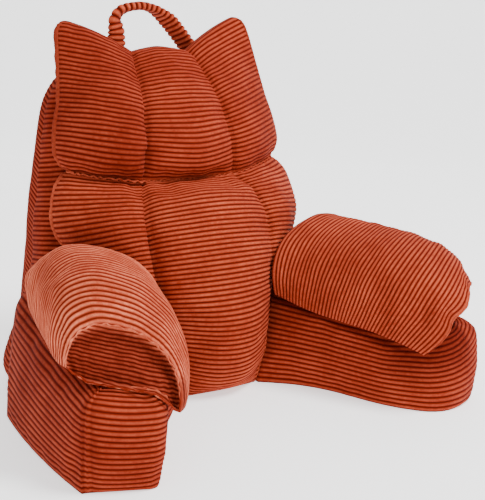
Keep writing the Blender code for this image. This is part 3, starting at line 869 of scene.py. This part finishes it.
# %% Bolster tables
ARM_CORNERS = dict(             # x and y on the floor, and where the walls meet the top
    root=[(0.0775, -0.069), (0.1190, -0.046)],
    inner=[(0.272, -0.344), (0.262, -0.345)],
    outer=[(0.355, -0.311), (0.356, -0.306)],
    heel=[(0.339, 0.000), (0.303, 0.050)])
ARM_SHORT = dict(left=np.zeros(2), right=np.array([-0.003, 0.006]))    # front corners' shift
ARM_BULGE = dict(inner=0.004, front=0.012, outer=0.024)
FLOOR_SHARE = dict(inner=0.0, front=0.0, outer=0.38)    # of the bulge's wave, at the floor
CORNER_SHARE = 0.12             # of the bulge's wave along a wall, at its corners
INNER_HOLLOW = dict(left=0.012, right=0.0055)           # half a wave along the floor
INNER_WAVE = dict(left=0.0, right=0.0135)               # and a full one
ARM_COLUMNS = dict(inner=56, front=14, outer=56, back=10, lumbar=6)
ARM_FILLET = dict(left=(0.011, 0.003), right=(0.044, 0.022))    # cut off at each front corner
FILLET_STEPS = 6
FILLET_REACH = 0.92             # the most of the front wall that its two corners take
CORNER_TURN = 0.75              # how fast the corners widen as the top edge rounds over
TOP_ROUND, ARM_TALL = 0.028, 0.150
TOP_HEIGHT, TOP_X, TOP_RISE_X, TOP_RISE_Y = 0.160, 0.090, 0.100, 0.138    # the top's plane
BOLSTER_WALES = 21
END_ROUND = dict(left=0.0, right=0.7)       # more rounding of the top edge at the end
END_DROP = dict(left=0.0, right=0.007)      # how far the top sinks there
END_LIFT = dict(left=0.0, right=0.18)       # how far its wales rise, of the wall's height
END_SHADE = dict(left=0.0, right=1.0)       # whether its top lies in the pad's shade
MITRE = dict(left=1.0, right=0.15)          # how strongly the mitred seam shows
FLAP_LINE = ([0.12, 0.225, 0.29], [0.141, 0.096, 0.090])    # x and z of the pad's lower edge
print(f"bolsters {ARM_TALL} m tall with {BOLSTER_WALES} wales")


# %% Bolster walls
def arm_top(x, y):
    """Height of the bolster's sloping top."""
    return TOP_HEIGHT + TOP_RISE_X * (x - TOP_X) + TOP_RISE_Y * y


def arm_side(which, wall, start, end, level, trim):
    """A straight run between two leaning corners, swelling as sin^0.6 up and sin^0.5 along."""
    corner = [np.array(ARM_CORNERS[name][0]) * (1 - level) + np.array(ARM_CORNERS[name][1]) * level
              + (name in ("inner", "outer")) * ARM_SHORT[which] for name in (start, end)]
    run = corner[1] - corner[0]
    length = np.hypot(*run)
    t = np.linspace(trim[0] / length, 1 - trim[1] / length, ARM_COLUMNS[wall] + 1)
    outward = np.array([run[1], -run[0]]) / length
    along = CORNER_SHARE + (1 - 2 * CORNER_SHARE) * t
    up = FLOOR_SHARE[wall] + (1 - FLOOR_SHARE[wall]) * level
    swell = ARM_BULGE[wall] * np.abs(np.sin(np.pi * up)) ** 0.6 * np.sin(np.pi * along) ** 0.5
    if wall == "inner":
        hollow = INNER_HOLLOW[which] * np.sin(np.pi * t)
        hollow = hollow + INNER_WAVE[which] * np.sin(2 * np.pi * t)
        swell = swell * np.minimum(1, t * 4) - hollow * (1 - level)
    return corner[0] + run * t[:, None] + outward * swell[:, None]


print(f"top of a bolster at its root: {arm_top(*ARM_CORNERS['root'][0]):.3f} m")


# %% Bolster corners and back
def fillet(before, after):
    """A round corner between the end of one wall and the start of the next: a quadratic."""
    a, b = before[-1], after[0]
    tip = a + unit(before[-1] - before[-2]) * np.hypot(*(b - a)) * 0.55
    t = np.linspace(0, 1, FILLET_STEPS + 1)[1:-1, None]
    return a * (1 - t) ** 2 + tip * 2 * t * (1 - t) + b * t ** 2


def on_plane(x, level):
    """Points at x on the leaning plane, at a share of the height of the bolster's top."""
    flat_rise = TOP_HEIGHT + TOP_RISE_X * (x - TOP_X) - TOP_RISE_Y * GAP
    z = level * flat_rise / (1 - level * TOP_RISE_Y * SLOPE)
    return np.column_stack([x, z * SLOPE - GAP, z])


def drawn_in(plan, inset):
    """A wall's plan moved by inset towards the inside of the bolster."""
    heading = unit(np.gradient(plan, axis=0))
    return plan - np.column_stack([heading[:, 1], -heading[:, 0]]) * np.reshape(inset, (-1, 1))


heel_x = np.array(ARM_CORNERS["heel"][1][:1])
print("a bolster's heel meets the back at", on_plane(heel_x, 1.0)[0].round(3))


# %% Bolster ring
def arm_ring(which, level, inset):
    """Three walls with round front corners, the flat back and the side by the cushion,
    at one level. inset is how far the top edge's rounding has drawn the walls in."""
    n = ARM_COLUMNS
    more = END_ROUND[which] * smooth(0.75, 1, np.linspace(0, 1, n["inner"] + 1))
    front_run = np.hypot(*(np.array(ARM_CORNERS["outer"][0]) - ARM_CORNERS["inner"][0]))
    turns = np.array(ARM_FILLET[which]) + CORNER_TURN * inset * (1 + END_ROUND[which])
    turns = turns * min(1, FILLET_REACH * front_run / turns.sum())
    inner = arm_side(which, "inner", "root", "inner", level, (0, turns[0]))
    front = arm_side(which, "front", "inner", "outer", level, turns)
    outer = arm_side(which, "outer", "outer", "heel", level, (turns[1], 0))
    inner = drawn_in(inner, inset * (1 + more))
    front = drawn_in(front, inset * (1 + END_ROUND[which]))
    outer = drawn_in(outer, inset * (1 + more[::-1]))
    plan = np.concatenate([inner, fillet(inner, front), front, fillet(front, outer), outer])
    walls = np.column_stack([plan, level * arm_top(plan[:, 0], plan[:, 1])])
    walls[-1] = on_plane(walls[-1:, 0], level)[0]
    share = np.linspace(0, 1, n["back"] + 1)[1:]
    back = on_plane(walls[-1, 0] + (walls[0, 0] - walls[-1, 0]) * share, level)
    share = np.linspace(0, 1, n["lumbar"] + 1)[1:, None]
    return np.concatenate([walls, back, back[-1] + (walls[0] - back[-1]) * share])


def bolster_form(which, share):
    """Rings stacked up the wall and over a quarter circle to the top. The end's wales rise
    by END_LIFT sin(pi share), and its top sinks by END_DROP. Also returns, for each
    column, how near it is to the end."""
    n = ARM_COLUMNS
    straight = ARM_TALL - TOP_ROUND
    run = share[:, 0] * (straight + TOP_ROUND * np.pi / 2)
    turn = np.maximum(run - straight, 0) / TOP_ROUND
    levels = (np.minimum(run, straight) + TOP_ROUND * np.sin(turn)) / ARM_TALL
    insets = TOP_ROUND * (1 - np.cos(turn))
    points = np.array([arm_ring(which, *pair) for pair in zip(levels, insets)])
    walk = distance(points[len(points) // 2, :, :2])
    start, stop = walk[n["inner"] - 4], walk[n["inner"] + n["front"] + 2 * FILLET_STEPS]
    near_end = smooth(start, stop, walk) * (1 - smooth(stop, stop + 0.12, walk))
    points = even_rows(points, share + END_LIFT[which] * near_end * np.sin(np.pi * share))
    points[..., 2] -= END_DROP[which] * near_end * smooth(0.4, 1, share)
    points[:, -1] = points[:, 0]
    return points, near_end


print(len(arm_ring("left", 0.5, 0.0)), "columns round a bolster")


# %% Bolster cover
SEAM_SINK, SEAM_RIDGE = 0.0034, 0.0036      # the mitre's groove, and the ridge within it


def pad_shade(which, points, share, near_end):
    """1 where the pad keeps light off: in a line under its edge on the inner wall, and
    on the right also on the inner wall's end and over the end's top."""
    n, column = ARM_COLUMNS["inner"], np.arange(points.shape[1])
    line = bell(points[..., 2] - np.interp(points[..., 0], *FLAP_LINE), 0.008)
    line = line * (1 - smooth(n - 6, n + 4, column))
    dusk = smooth(0.70 * n, 0.92 * n, column) * (1 - smooth(n + 4, n + 16, column))
    dusk = 0.75 * dusk * smooth(0.15, 0.55, share)
    top = 0.7 * near_end * smooth(0.66, 0.86, share)
    return np.maximum(line, END_SHADE[which] * np.maximum(dusk, top))


def bolster_cover(which, side, seed):
    """The walls with their wales, and a mitre of a groove with a ridge in it. side is -1
    on the left, where the points are mirrored."""
    n = ARM_COLUMNS
    walls = n["inner"] + n["front"] + n["outer"] + 2 * FILLET_STEPS
    mitre = n["inner"] + n["front"] + 1.5 * FILLET_STEPS
    share = wale_rows(BOLSTER_WALES)
    points, near_end = bolster_form(which, share)
    column = np.arange(points.shape[1])
    held = np.broadcast_to((column > walls) | (column == 0), points.shape[:2]).copy()
    held[0] = held[-1] = True
    blown = puffed(points, held, rows=15, cols=50)
    seam = MITRE[which] * bell(column - mitre, 2.6)
    ridge = MITRE[which] * bell(column - mitre, 1.1)
    height = wale_relief(share * BOLSTER_WALES) * (1 - 0.8 * seam)
    height = (height - SEAM_SINK * seam + SEAM_RIDGE * ridge) * smooth(0, 0.02, share)
    slack = SLACK * drift(column / 90, share * 0.8, seed) * smooth(0, 0.25, share)
    loose = smooth(-1, 3, column) * (1 - smooth(walls - 3, walls, column))
    # painted shade: in the mitre's groove and lifted again on its ridge, over the outer wall and
    # the back past the mitre, which face away from the light, and where the pad keeps light off
    tone = 1 - 0.60 * seam + 1.2 * ridge - 0.14 * (column > mitre)
    tone = tone - 0.9 * pad_shade(which, points, share, near_end)
    relief = (height + slack + blown * 0.7) * loose
    points = raised(points, relief, closed=True) * np.array([side, 1, 1])
    cover = Cover(f"bolster_{which}_cover")
    cover.tube(points, share * BOLSTER_WALES, side, tone)
    return cover


bolster_cover("right", 1, 41).make(cloth_shaded, "arm_base_right", 0.8)
bolster_cover("left", -1, 43).make(cloth_shaded, "arm_base_left", 0.8)

# %% [markdown]
# ## Arm pads
#
# A pad lies over its bolster like a saddle, with an inner flap that hangs over the edge
# and a gathered, sunken front end. Cloth dropped on the bolster would come out limp,
# while the real pad is filled and keeps its crown, so it is a half superellipse swept
# from the back to the front, with the wales across it. Its front end has level wales and
# a ruffled rim, and its underside lies on the bolster's top.

# %% Pad tables
# Share of the way to the front, then the outer edge, the crown and the inner edge.
PAD_STATIONS = dict(
    left=[
        (0.00, (0.315, 0.004, 0.195), (0.216, -0.015, 0.248), (0.106, -0.074, 0.158)),
        (0.30, (0.344, -0.078, 0.192), (0.250, -0.128, 0.283), (0.144, -0.140, 0.135)),
        (0.65, (0.365, -0.179, 0.180), (0.276, -0.208, 0.277), (0.166, -0.240, 0.127)),
        (0.90, (0.375, -0.248, 0.169), (0.290, -0.272, 0.238), (0.206, -0.305, 0.098)),
        (1.00, (0.374, -0.267, 0.170), (0.292, -0.289, 0.217), (0.224, -0.322, 0.102))],
    right=[
        (0.00, (0.318, -0.004, 0.188), (0.211, -0.014, 0.266), (0.098, -0.080, 0.158)),
        (0.30, (0.338, -0.073, 0.182), (0.250, -0.093, 0.259), (0.131, -0.149, 0.140)),
        (0.65, (0.375, -0.147, 0.172), (0.301, -0.197, 0.246), (0.175, -0.239, 0.128)),
        (0.90, (0.385, -0.190, 0.170), (0.325, -0.268, 0.212), (0.214, -0.306, 0.109)),
        (1.00, (0.379, -0.197, 0.156), (0.341, -0.295, 0.180), (0.225, -0.322, 0.102))])
PAD_SIDE_POWER = 0.85
PAD_CROWN_POWER = dict(left=0.91, right=0.875)
PAD_SWELL = dict(left=0.02, right=0.135)        # how far the inner side overhangs its edge
PAD_WALES = dict(left=36, right=46)
PAD_COLUMNS = 72
FLAP, FLAP_RISE = 0.014, 0.003                  # width and rise of the flap's underside
SINK = dict(left=0.013, right=0.002)            # of the front end
# The hem's height, thickness, side to side wave and wavelength.
RIM = dict(left=(0.0032, 0.0022, 0.0017, 0.0190), right=(0.0026, 0.0022, 0.0008, 0.0230))
# Scallops of the front edge: where across the pad, how wide, and how far forward.
END_PULL = dict(
    left=[(0.3, 0.06, 0.0012), (0.55, 0.05, -0.0014)],
    right=[(0.70, 0.06, -0.007), (0.56, 0.05, 0.002), (0.45, 0.035, -0.005),
           (0.33, 0.05, 0.002)])
# How far the front's inner tip is draped away.
DRAPE = dict(left=np.array([0.0186, -0.028, 0.0059]), right=np.zeros(3))
# Dents: where across and along the pad, how wide, how long and how deep.
DENTS = dict(left=[], right=[(0.80, 0.84, 0.10, 0.07, 0.008), (0.62, 0.93, 0.12, 0.05, 0.005)])
print("wales across each pad:", PAD_WALES)


# %% Pad form
def pad_guides(stations, t):
    """The outer edge, the crown and the inner edge at t."""
    marks = [row[0] for row in stations]
    return [np.stack([table_curve(marks, [row[k][axis] for row in stations], t)
                      for axis in range(3)], axis=-1) for k in (1, 2, 3)]


def pad_arc(which, u, t):
    """M + A |cos|^0.85 + H sin^p, with M the chord's middle, A half of it and H to the
    crown. u is 0 at the outer edge and 1 at the inner one, whose side swells."""
    outer, crown, inner = pad_guides(PAD_STATIONS[which], t)
    middle, half = (outer + inner) / 2, (outer - inner) / 2
    c = signed_power(np.cos(np.pi * u), PAD_SIDE_POWER)
    s = np.abs(np.sin(np.pi * u)) ** PAD_CROWN_POWER[which]
    swell = np.where(c > 0, 0.0, PAD_SWELL[which])
    return middle + half * (c * (1 + swell * s))[..., None] + (crown - middle) * s[..., None]


def pad_under(inner, outer):
    """From the inner flap up and across the bolster's top, at clearance height."""
    width = np.hypot(*(outer[:2] - inner[:2]))
    across = (outer[:2] - inner[:2]) / width
    marks = [inner, np.append(inner[:2] + across * FLAP, inner[2] + FLAP_RISE)]
    for reach in (FLAP * 1.3, width * 0.35, width * 0.6, width * 0.82):
        plan = inner[:2] + across * reach
        marks.append(np.append(plan, arm_top(*plan) + CLEAR))
    marks = np.array(marks + [outer])
    walk = distance(marks)
    even = np.linspace(0, walk[-1], PAD_COLUMNS + 1)
    return np.stack([np.interp(even, walk, marks[:, k]) for k in range(3)], axis=1)


print("crown of the left pad:", pad_guides(PAD_STATIONS["left"], 0.5)[1].round(3))


# %% Pad upper cloth
END_STEP = 0.985                # past this the cloth belongs to the hem
GATHER, GATHER_PITCH = 0.0004, 0.011
LIP = 22                        # columns of the underside beside the left pad's tip


def pad_upper(which, u, t, run, seed):
    """The arc swept along the stations, pulled in scallops and draped at its front, with
    its wales, gathers, slack and dents. run is the arc's length across the pad."""
    steps = np.linspace(0, 1, 301)[:, None]
    guide = pad_arc(which, u + 0 * steps, steps + 0 * u)
    points = even_rows(guide, t + 0.007 * drift(u, t * 1.3, seed) * np.sin(np.pi * t))
    held = np.zeros(points.shape[:2], dtype=bool)
    held[0] = held[-1] = held[:, 0] = held[:, -1] = True
    blown = puffed(points, held, rows=27, cols=25)
    pull = sum(far * bell(u - place, wide) for place, wide, far in END_PULL[which])
    ahead = unit(points[-1] - points[-ROWS_PER_WALE - 1])[None]
    points = points + ahead * (pull * smooth(0.82, 1, t) ** 2)[..., None]
    points = points + DRAPE[which] * (smooth(0.84, 1, t) * smooth(0.72, 1, u))[..., None]
    from_edge = smooth(0, 0.03, np.minimum(u, 1 - u))
    loose = from_edge * smooth(0, 0.01, t) * (1 - smooth(END_STEP, 1, t))
    near_rim = smooth(0.80, 1, t) * from_edge
    wave = 2 * np.pi * u * run / GATHER_PITCH + 2 * drift(u * 2, t * 0.5, seed + 4)
    height = wale_relief(t * PAD_WALES[which]) * loose * (1 - 0.25 * near_rim)
    height = height + GATHER * np.sin(wave) * near_rim ** 2
    slack = SLACK * drift(u * 1.2, t * 2, seed + 1) * loose + blown * 0.7 * loose
    for place_u, place_t, wide, long, deep in DENTS[which]:
        slack = slack - deep * bell(u - place_u, wide) * bell(t - place_t, long)
    return raised(points, height + slack)


def pad_lower(which, upper, t):
    """The underside, row by row. At the left pad's front the first LIP columns from the
    draped tip are pulled straight."""
    lower = np.array([pad_under(row[-1], row[0]) for row in upper])
    if which == "left":
        share = np.linspace(0, 1, LIP)[None, :, None]
        straight = lower[:, :1] * (1 - share) + lower[:, LIP - 1:LIP] * share
        lower[:, :LIP] += (straight - lower[:, :LIP]) * smooth(0.88, 1, t)[..., None]
    return lower


print(f"gathers every {GATHER_PITCH * 1000:.0f} mm round the pads' rims")


# %% Pad ends
CAP_ROWS = 145
CAP_PITCH, CAP_RIB = 0.74, 0.45         # of the wales' pitch and height, in the drawn-in cloth
CAP_SLANT = 0.28                        # how much the end's wales climb across it


def cap(cover, arc, base, mirror, flip, seed, sink):
    """Rows straight from the base, the under edge, up to the arc, then sunken as a bowl
    with a flat bottom, which painted shade darkens. Returns the direction that is inward."""
    inward = unit(np.cross(arc[len(arc) // 2] - arc[-1], arc[0] - arc[-1]))
    inward = inward * np.sign(inward[1])
    share = np.linspace(0, 1, CAP_ROWS)[:, None]
    points = base + (arc - base) * share[..., None]
    even = np.linspace(0, 1, len(arc))
    side_way = np.minimum(even, 1 - even)[None, :]
    deep = smooth(0, 0.13, np.minimum(share * 1.4, 1 - share)) * smooth(0, 0.08, side_way)
    phase = (points[..., 2] - CAP_SLANT * points[..., 0]) / (CAP_PITCH * WALE_PITCH)
    phase = phase + 0.25 * drift(side_way * 2, share * 0.7, seed + 6)
    if sink:
        height = RIB_HEIGHT * CAP_RIB * (rib(phase) - 0.5)
        height = height + 0.0034 * drift(side_way * 3, share * 0.6, seed + 5)
        points = points + inward * ((sink - height) * deep)[..., None]
    # painted shade over the sunken bowl, deeper on the crests of its wales
    tone = (1 - 0.80 * deep) * (1 - 0.35 * deep * rib(phase))
    cover.grid(points * mirror, phase, flip, tone)
    return inward


def rim_frill(which, arc, base, forward, mirror, material, seed):
    """The gathered hem that stands out round the front end. Below, it hangs forward of
    the edge, and painted shade darkens it as it turns under."""
    loop = np.concatenate([arc, base[-2:0:-1], arc[:1]])
    outward = unit(forward * 0.85 + unit(loop - loop.mean(axis=0)) * 0.5)
    sideways = unit(np.cross(outward, np.gradient(loop, axis=0)))
    along = np.arange(len(loop)) - len(arc)
    hang = smooth(0, 12, along) * (1 - smooth(len(base) - 14, len(base) - 2, along))
    line = loop - outward * 0.002 + hang[:, None] * np.array([0, -0.006, 0.003])
    # the hem's tone is painted shade where it turns under the edge
    frill(f"arm_pad_{which}_ruffle", line * mirror, outward * mirror, sideways * mirror,
          *RIM[which], material, "arm_pad_" + which, seed + 9, 1 - smooth(-15, -5, along))


print("the ends have", CAP_ROWS, "rows")


# %% Pad covers
def pad_cover(which, side, seed, material):
    """Upper cloth, underside and two ends. side is -1 on the left, which is mirrored."""
    fine = np.linspace(0, 1, 601)
    walk = distance(pad_arc(which, fine, np.full_like(fine, 0.6)))
    u = np.interp(np.linspace(0, walk[-1], PAD_COLUMNS + 1), walk, fine)[None, :]
    t = wale_rows(PAD_WALES[which])
    upper = pad_upper(which, u, t, walk[-1], seed)
    lower = pad_lower(which, upper, t)
    # painted shade on the left pad's draped inner tip, where it turns under, and at half strength
    # over the whole underside
    tip = 1 - 0.85 * (side < 0) * smooth(0.82, 0.90, u) * smooth(0.90, 0.97, t)
    mirror = np.array([side, 1, 1])
    cover = Cover(f"arm_pad_{which}_cover")
    cover.grid(upper * mirror, t * PAD_WALES[which], side < 0, tip)
    cover.grid(lower * mirror, t * PAD_WALES[which], side < 0, 0.5)
    base = lower[-1, ::-1]
    inward = cap(cover, upper[-1], base, mirror, side < 0, seed, SINK[which])
    cap(cover, upper[0], lower[0, ::-1], mirror, side > 0, seed, 0.0)
    cover.make(material, "arm_pad_" + which, 0.7)
    rim_frill(which, upper[-1], base, -inward, mirror, material, seed)


pad_cover("right", 1, 51, cloth)
# the left pad's cloth is lighter all over as painted light
pad_cover("left", -1, 57, cloth_lit)

# %% [markdown]
# ## Carry strap
#
# The strap is a flat filled tube, sewn in at both ends, which thread draws in between
# its ribs. A bevelled curve could follow its line, but couldn't puff up between the threads,
# so its section is carried along the line. It faces forward at its ends
# and turns edge on at its top.

# %% Strap table
STRAP_Y = 0.186
STRAP_LINE = [(-0.0670, 0.5170), (-0.0675, 0.5450), (-0.0672, 0.5785),
              (-0.0695, 0.5980), (-0.0652, 0.6096), (-0.0555, 0.6168),
              (-0.0400, 0.6216), (-0.0200, 0.6236), (0.0005, 0.6196),
              (0.0192, 0.6095), (0.0372, 0.5953), (0.0528, 0.5785), (0.0658, 0.5635),
              (0.0738, 0.5525), (0.0812, 0.5350), (0.0845, 0.5170)]
STRAP_WIDTH, STRAP_THICK = 0.0345, 0.0142
STRAP_RIBS, ROWS_PER_RIB = 31, 12
STRAP_SQUARENESS = 0.6
STRAP_END_TURN = 58             # degrees by which the right end stays turned edge on
print(f"strap {distance(np.array(STRAP_LINE))[-1]:.3f} m long with {STRAP_RIBS} ribs")


# %% Strap
def strap_cover():
    """A flat puffy tube along the strap's line: |cos|^0.6 wide and |sin|^0.6 thick, and
    turned about the line by sin^3 of the way along it."""
    knots = np.array(STRAP_LINE)
    chord = distance(knots)
    fine = np.linspace(0, chord[-1], 40 * len(knots))
    line = np.column_stack([table_curve(chord, knots[:, k], fine) for k in (0, 1)])
    run = distance(line)
    count = STRAP_RIBS * ROWS_PER_RIB + 1
    share = np.linspace(0, 1, count)
    x, z = (np.interp(share * run[-1], run, line[:, k]) for k in (0, 1))
    tangent = unit(np.column_stack([np.gradient(x), np.zeros(count), np.gradient(z)]))
    turn = np.pi / 2 * np.sin(np.pi * share) ** 3
    turn = np.where(share > 0.5, np.maximum(turn, np.radians(STRAP_END_TURN)), turn)[:, None]
    in_plane = np.column_stack([tangent[:, 2], np.zeros(count), -tangent[:, 0]])
    wide = in_plane * np.cos(turn) + np.array([0.0, 1.0, 0.0]) * np.sin(turn)
    thick = np.cross(tangent, wide)
    angle = np.linspace(0, 2 * np.pi, 33)[None, :, None]
    c = signed_power(np.cos(angle), STRAP_SQUARENESS) * STRAP_WIDTH / 2
    s = signed_power(np.sin(angle), STRAP_SQUARENESS) * STRAP_THICK / 2
    phase = share[:, None] * STRAP_RIBS
    puff = (0.82 + 0.22 * rib(phase))[..., None]
    points = np.column_stack([x, np.full(count, STRAP_Y), z])[:, None]
    points = points + (wide[:, None] * c + thick[:, None] * s) * puff
    cover = Cover("strap_cover")
    cover.tube(points, phase)
    return cover


strap_cover().make(cloth, "carry_handle", 0.9)

# %% [markdown]
# ## Floor, light and camera
#
# A plain pale floor that curves up behind, a large soft light from above the camera and
# a wide fill. The camera stands left of the middle, a little above the pillow, on a long
# lens, and is rolled by under two degrees as the photograph is.

# %% Floor
NEAR, BEND_AT, BEND_RADIUS = -3.5, 2.2, 1.2
WALL_TOP, HALF_WIDTH = 5.0, 5.0
FLOOR_TURN = 33.5               # degrees, to face the camera


def floor():
    """Level to BEND_AT, then a quarter circle and a wall, turned to face the camera."""
    bend = np.linspace(0.1, np.pi / 2, 12)
    depth = np.concatenate([np.linspace(NEAR, BEND_AT, 12), BEND_AT + BEND_RADIUS * np.sin(bend),
                            [BEND_AT + BEND_RADIUS]])
    rise = np.concatenate([np.zeros(12), BEND_RADIUS * (1 - np.cos(bend)), [WALL_TOP]])
    across = np.linspace(-HALF_WIDTH, HALF_WIDTH, 3)
    points = np.stack(np.broadcast_arrays(across[None, :], depth[:, None], rise[:, None]), -1)
    c, s = np.cos(np.radians(FLOOR_TURN)), np.sin(np.radians(FLOOR_TURN))
    spun = points.reshape(-1, 3) @ np.array([[c, -s, 0], [s, c, 0], [0, 0, 1]])
    mesh = bpy.data.meshes.new("floor")
    mesh.from_pydata(spun.tolist(), [], grid_faces(*points.shape[:2]).tolist())
    mesh.shade_smooth()
    paper = Shader("pale_floor")
    paper.feed(paper.surface, {"Base Color": (0.95, 0.95, 0.95, 1.0), "Roughness": 0.9,
                               "Emission Color": (1.0, 1.0, 1.0, 1.0), "Emission Strength": 1.0})
    mesh.materials.append(paper.material)
    add_object("floor", mesh)
    print(f"floor: {len(mesh.polygons)} faces")


floor()


# %% Lights
def place_at(obj, right, up, back, position):
    """An object turned so that its own x, y and z are right, up and back."""
    rows = [[right[i], up[i], back[i], position[i]] for i in range(3)]
    obj.matrix_world = Matrix(rows + [[0, 0, 0, 1]])


def area_light(name, position, target, size, watts):
    """A round light that faces its target."""
    data = bpy.data.lights.new(name, "AREA")
    data.shape, data.size, data.energy = "DISK", size, watts
    back = unit(np.array(position) - np.array(target))
    right = unit(np.cross([0, 0, 1], back))
    place_at(add_object(name, data), right, np.cross(back, right), back, position)
    print(f"{name} light: {size} m wide, {watts} W")


LIT_POINT = (0.0, 0.0, 0.2)
area_light("key", (1.1, -1.3, 3.0), LIT_POINT, size=1.3, watts=135)
area_light("fill", (-2.2, -1.8, 1.2), LIT_POINT, size=2.4, watts=9)
world = bpy.data.worlds.new("studio")
bpy.context.scene.world = world
world.use_nodes = True
sky = world.node_tree.nodes["Background"]
sky.inputs["Color"].default_value = (1.0, 1.0, 1.0, 1.0)
sky.inputs["Strength"].default_value = 0.80

# %% Camera
AZIMUTH, ELEVATION, ROLL = np.radians([33.54, 14.24, 1.76])
DISTANCE, AIM = 1.996, np.array([0.083, 0.0, 0.219]) + PLACE
SENSOR = 36.0                   # mm
FOCAL_SHARE = 1152.9 / 500      # the lens over the sensor, from the photograph's perspective


def camera():
    """Looks from DISTANCE at AIM, at the photograph's angle."""
    level = np.cos(ELEVATION)
    back = np.array([-np.sin(AZIMUTH) * level, -np.cos(AZIMUTH) * level, np.sin(ELEVATION)])
    right = np.array([np.cos(AZIMUTH), -np.sin(AZIMUTH), 0.0])
    up = np.cross(back, right)
    data = bpy.data.cameras.new("camera")
    data.sensor_width, data.lens = SENSOR, FOCAL_SHARE * SENSOR
    obj = add_object("camera", data)
    place_at(obj, right * np.cos(ROLL) + up * np.sin(ROLL),
             up * np.cos(ROLL) - right * np.sin(ROLL), back, AIM + back * DISTANCE)
    bpy.context.scene.camera = obj
    print(f"camera: {data.lens:.0f} mm lens, {DISTANCE} m from its target")


camera()
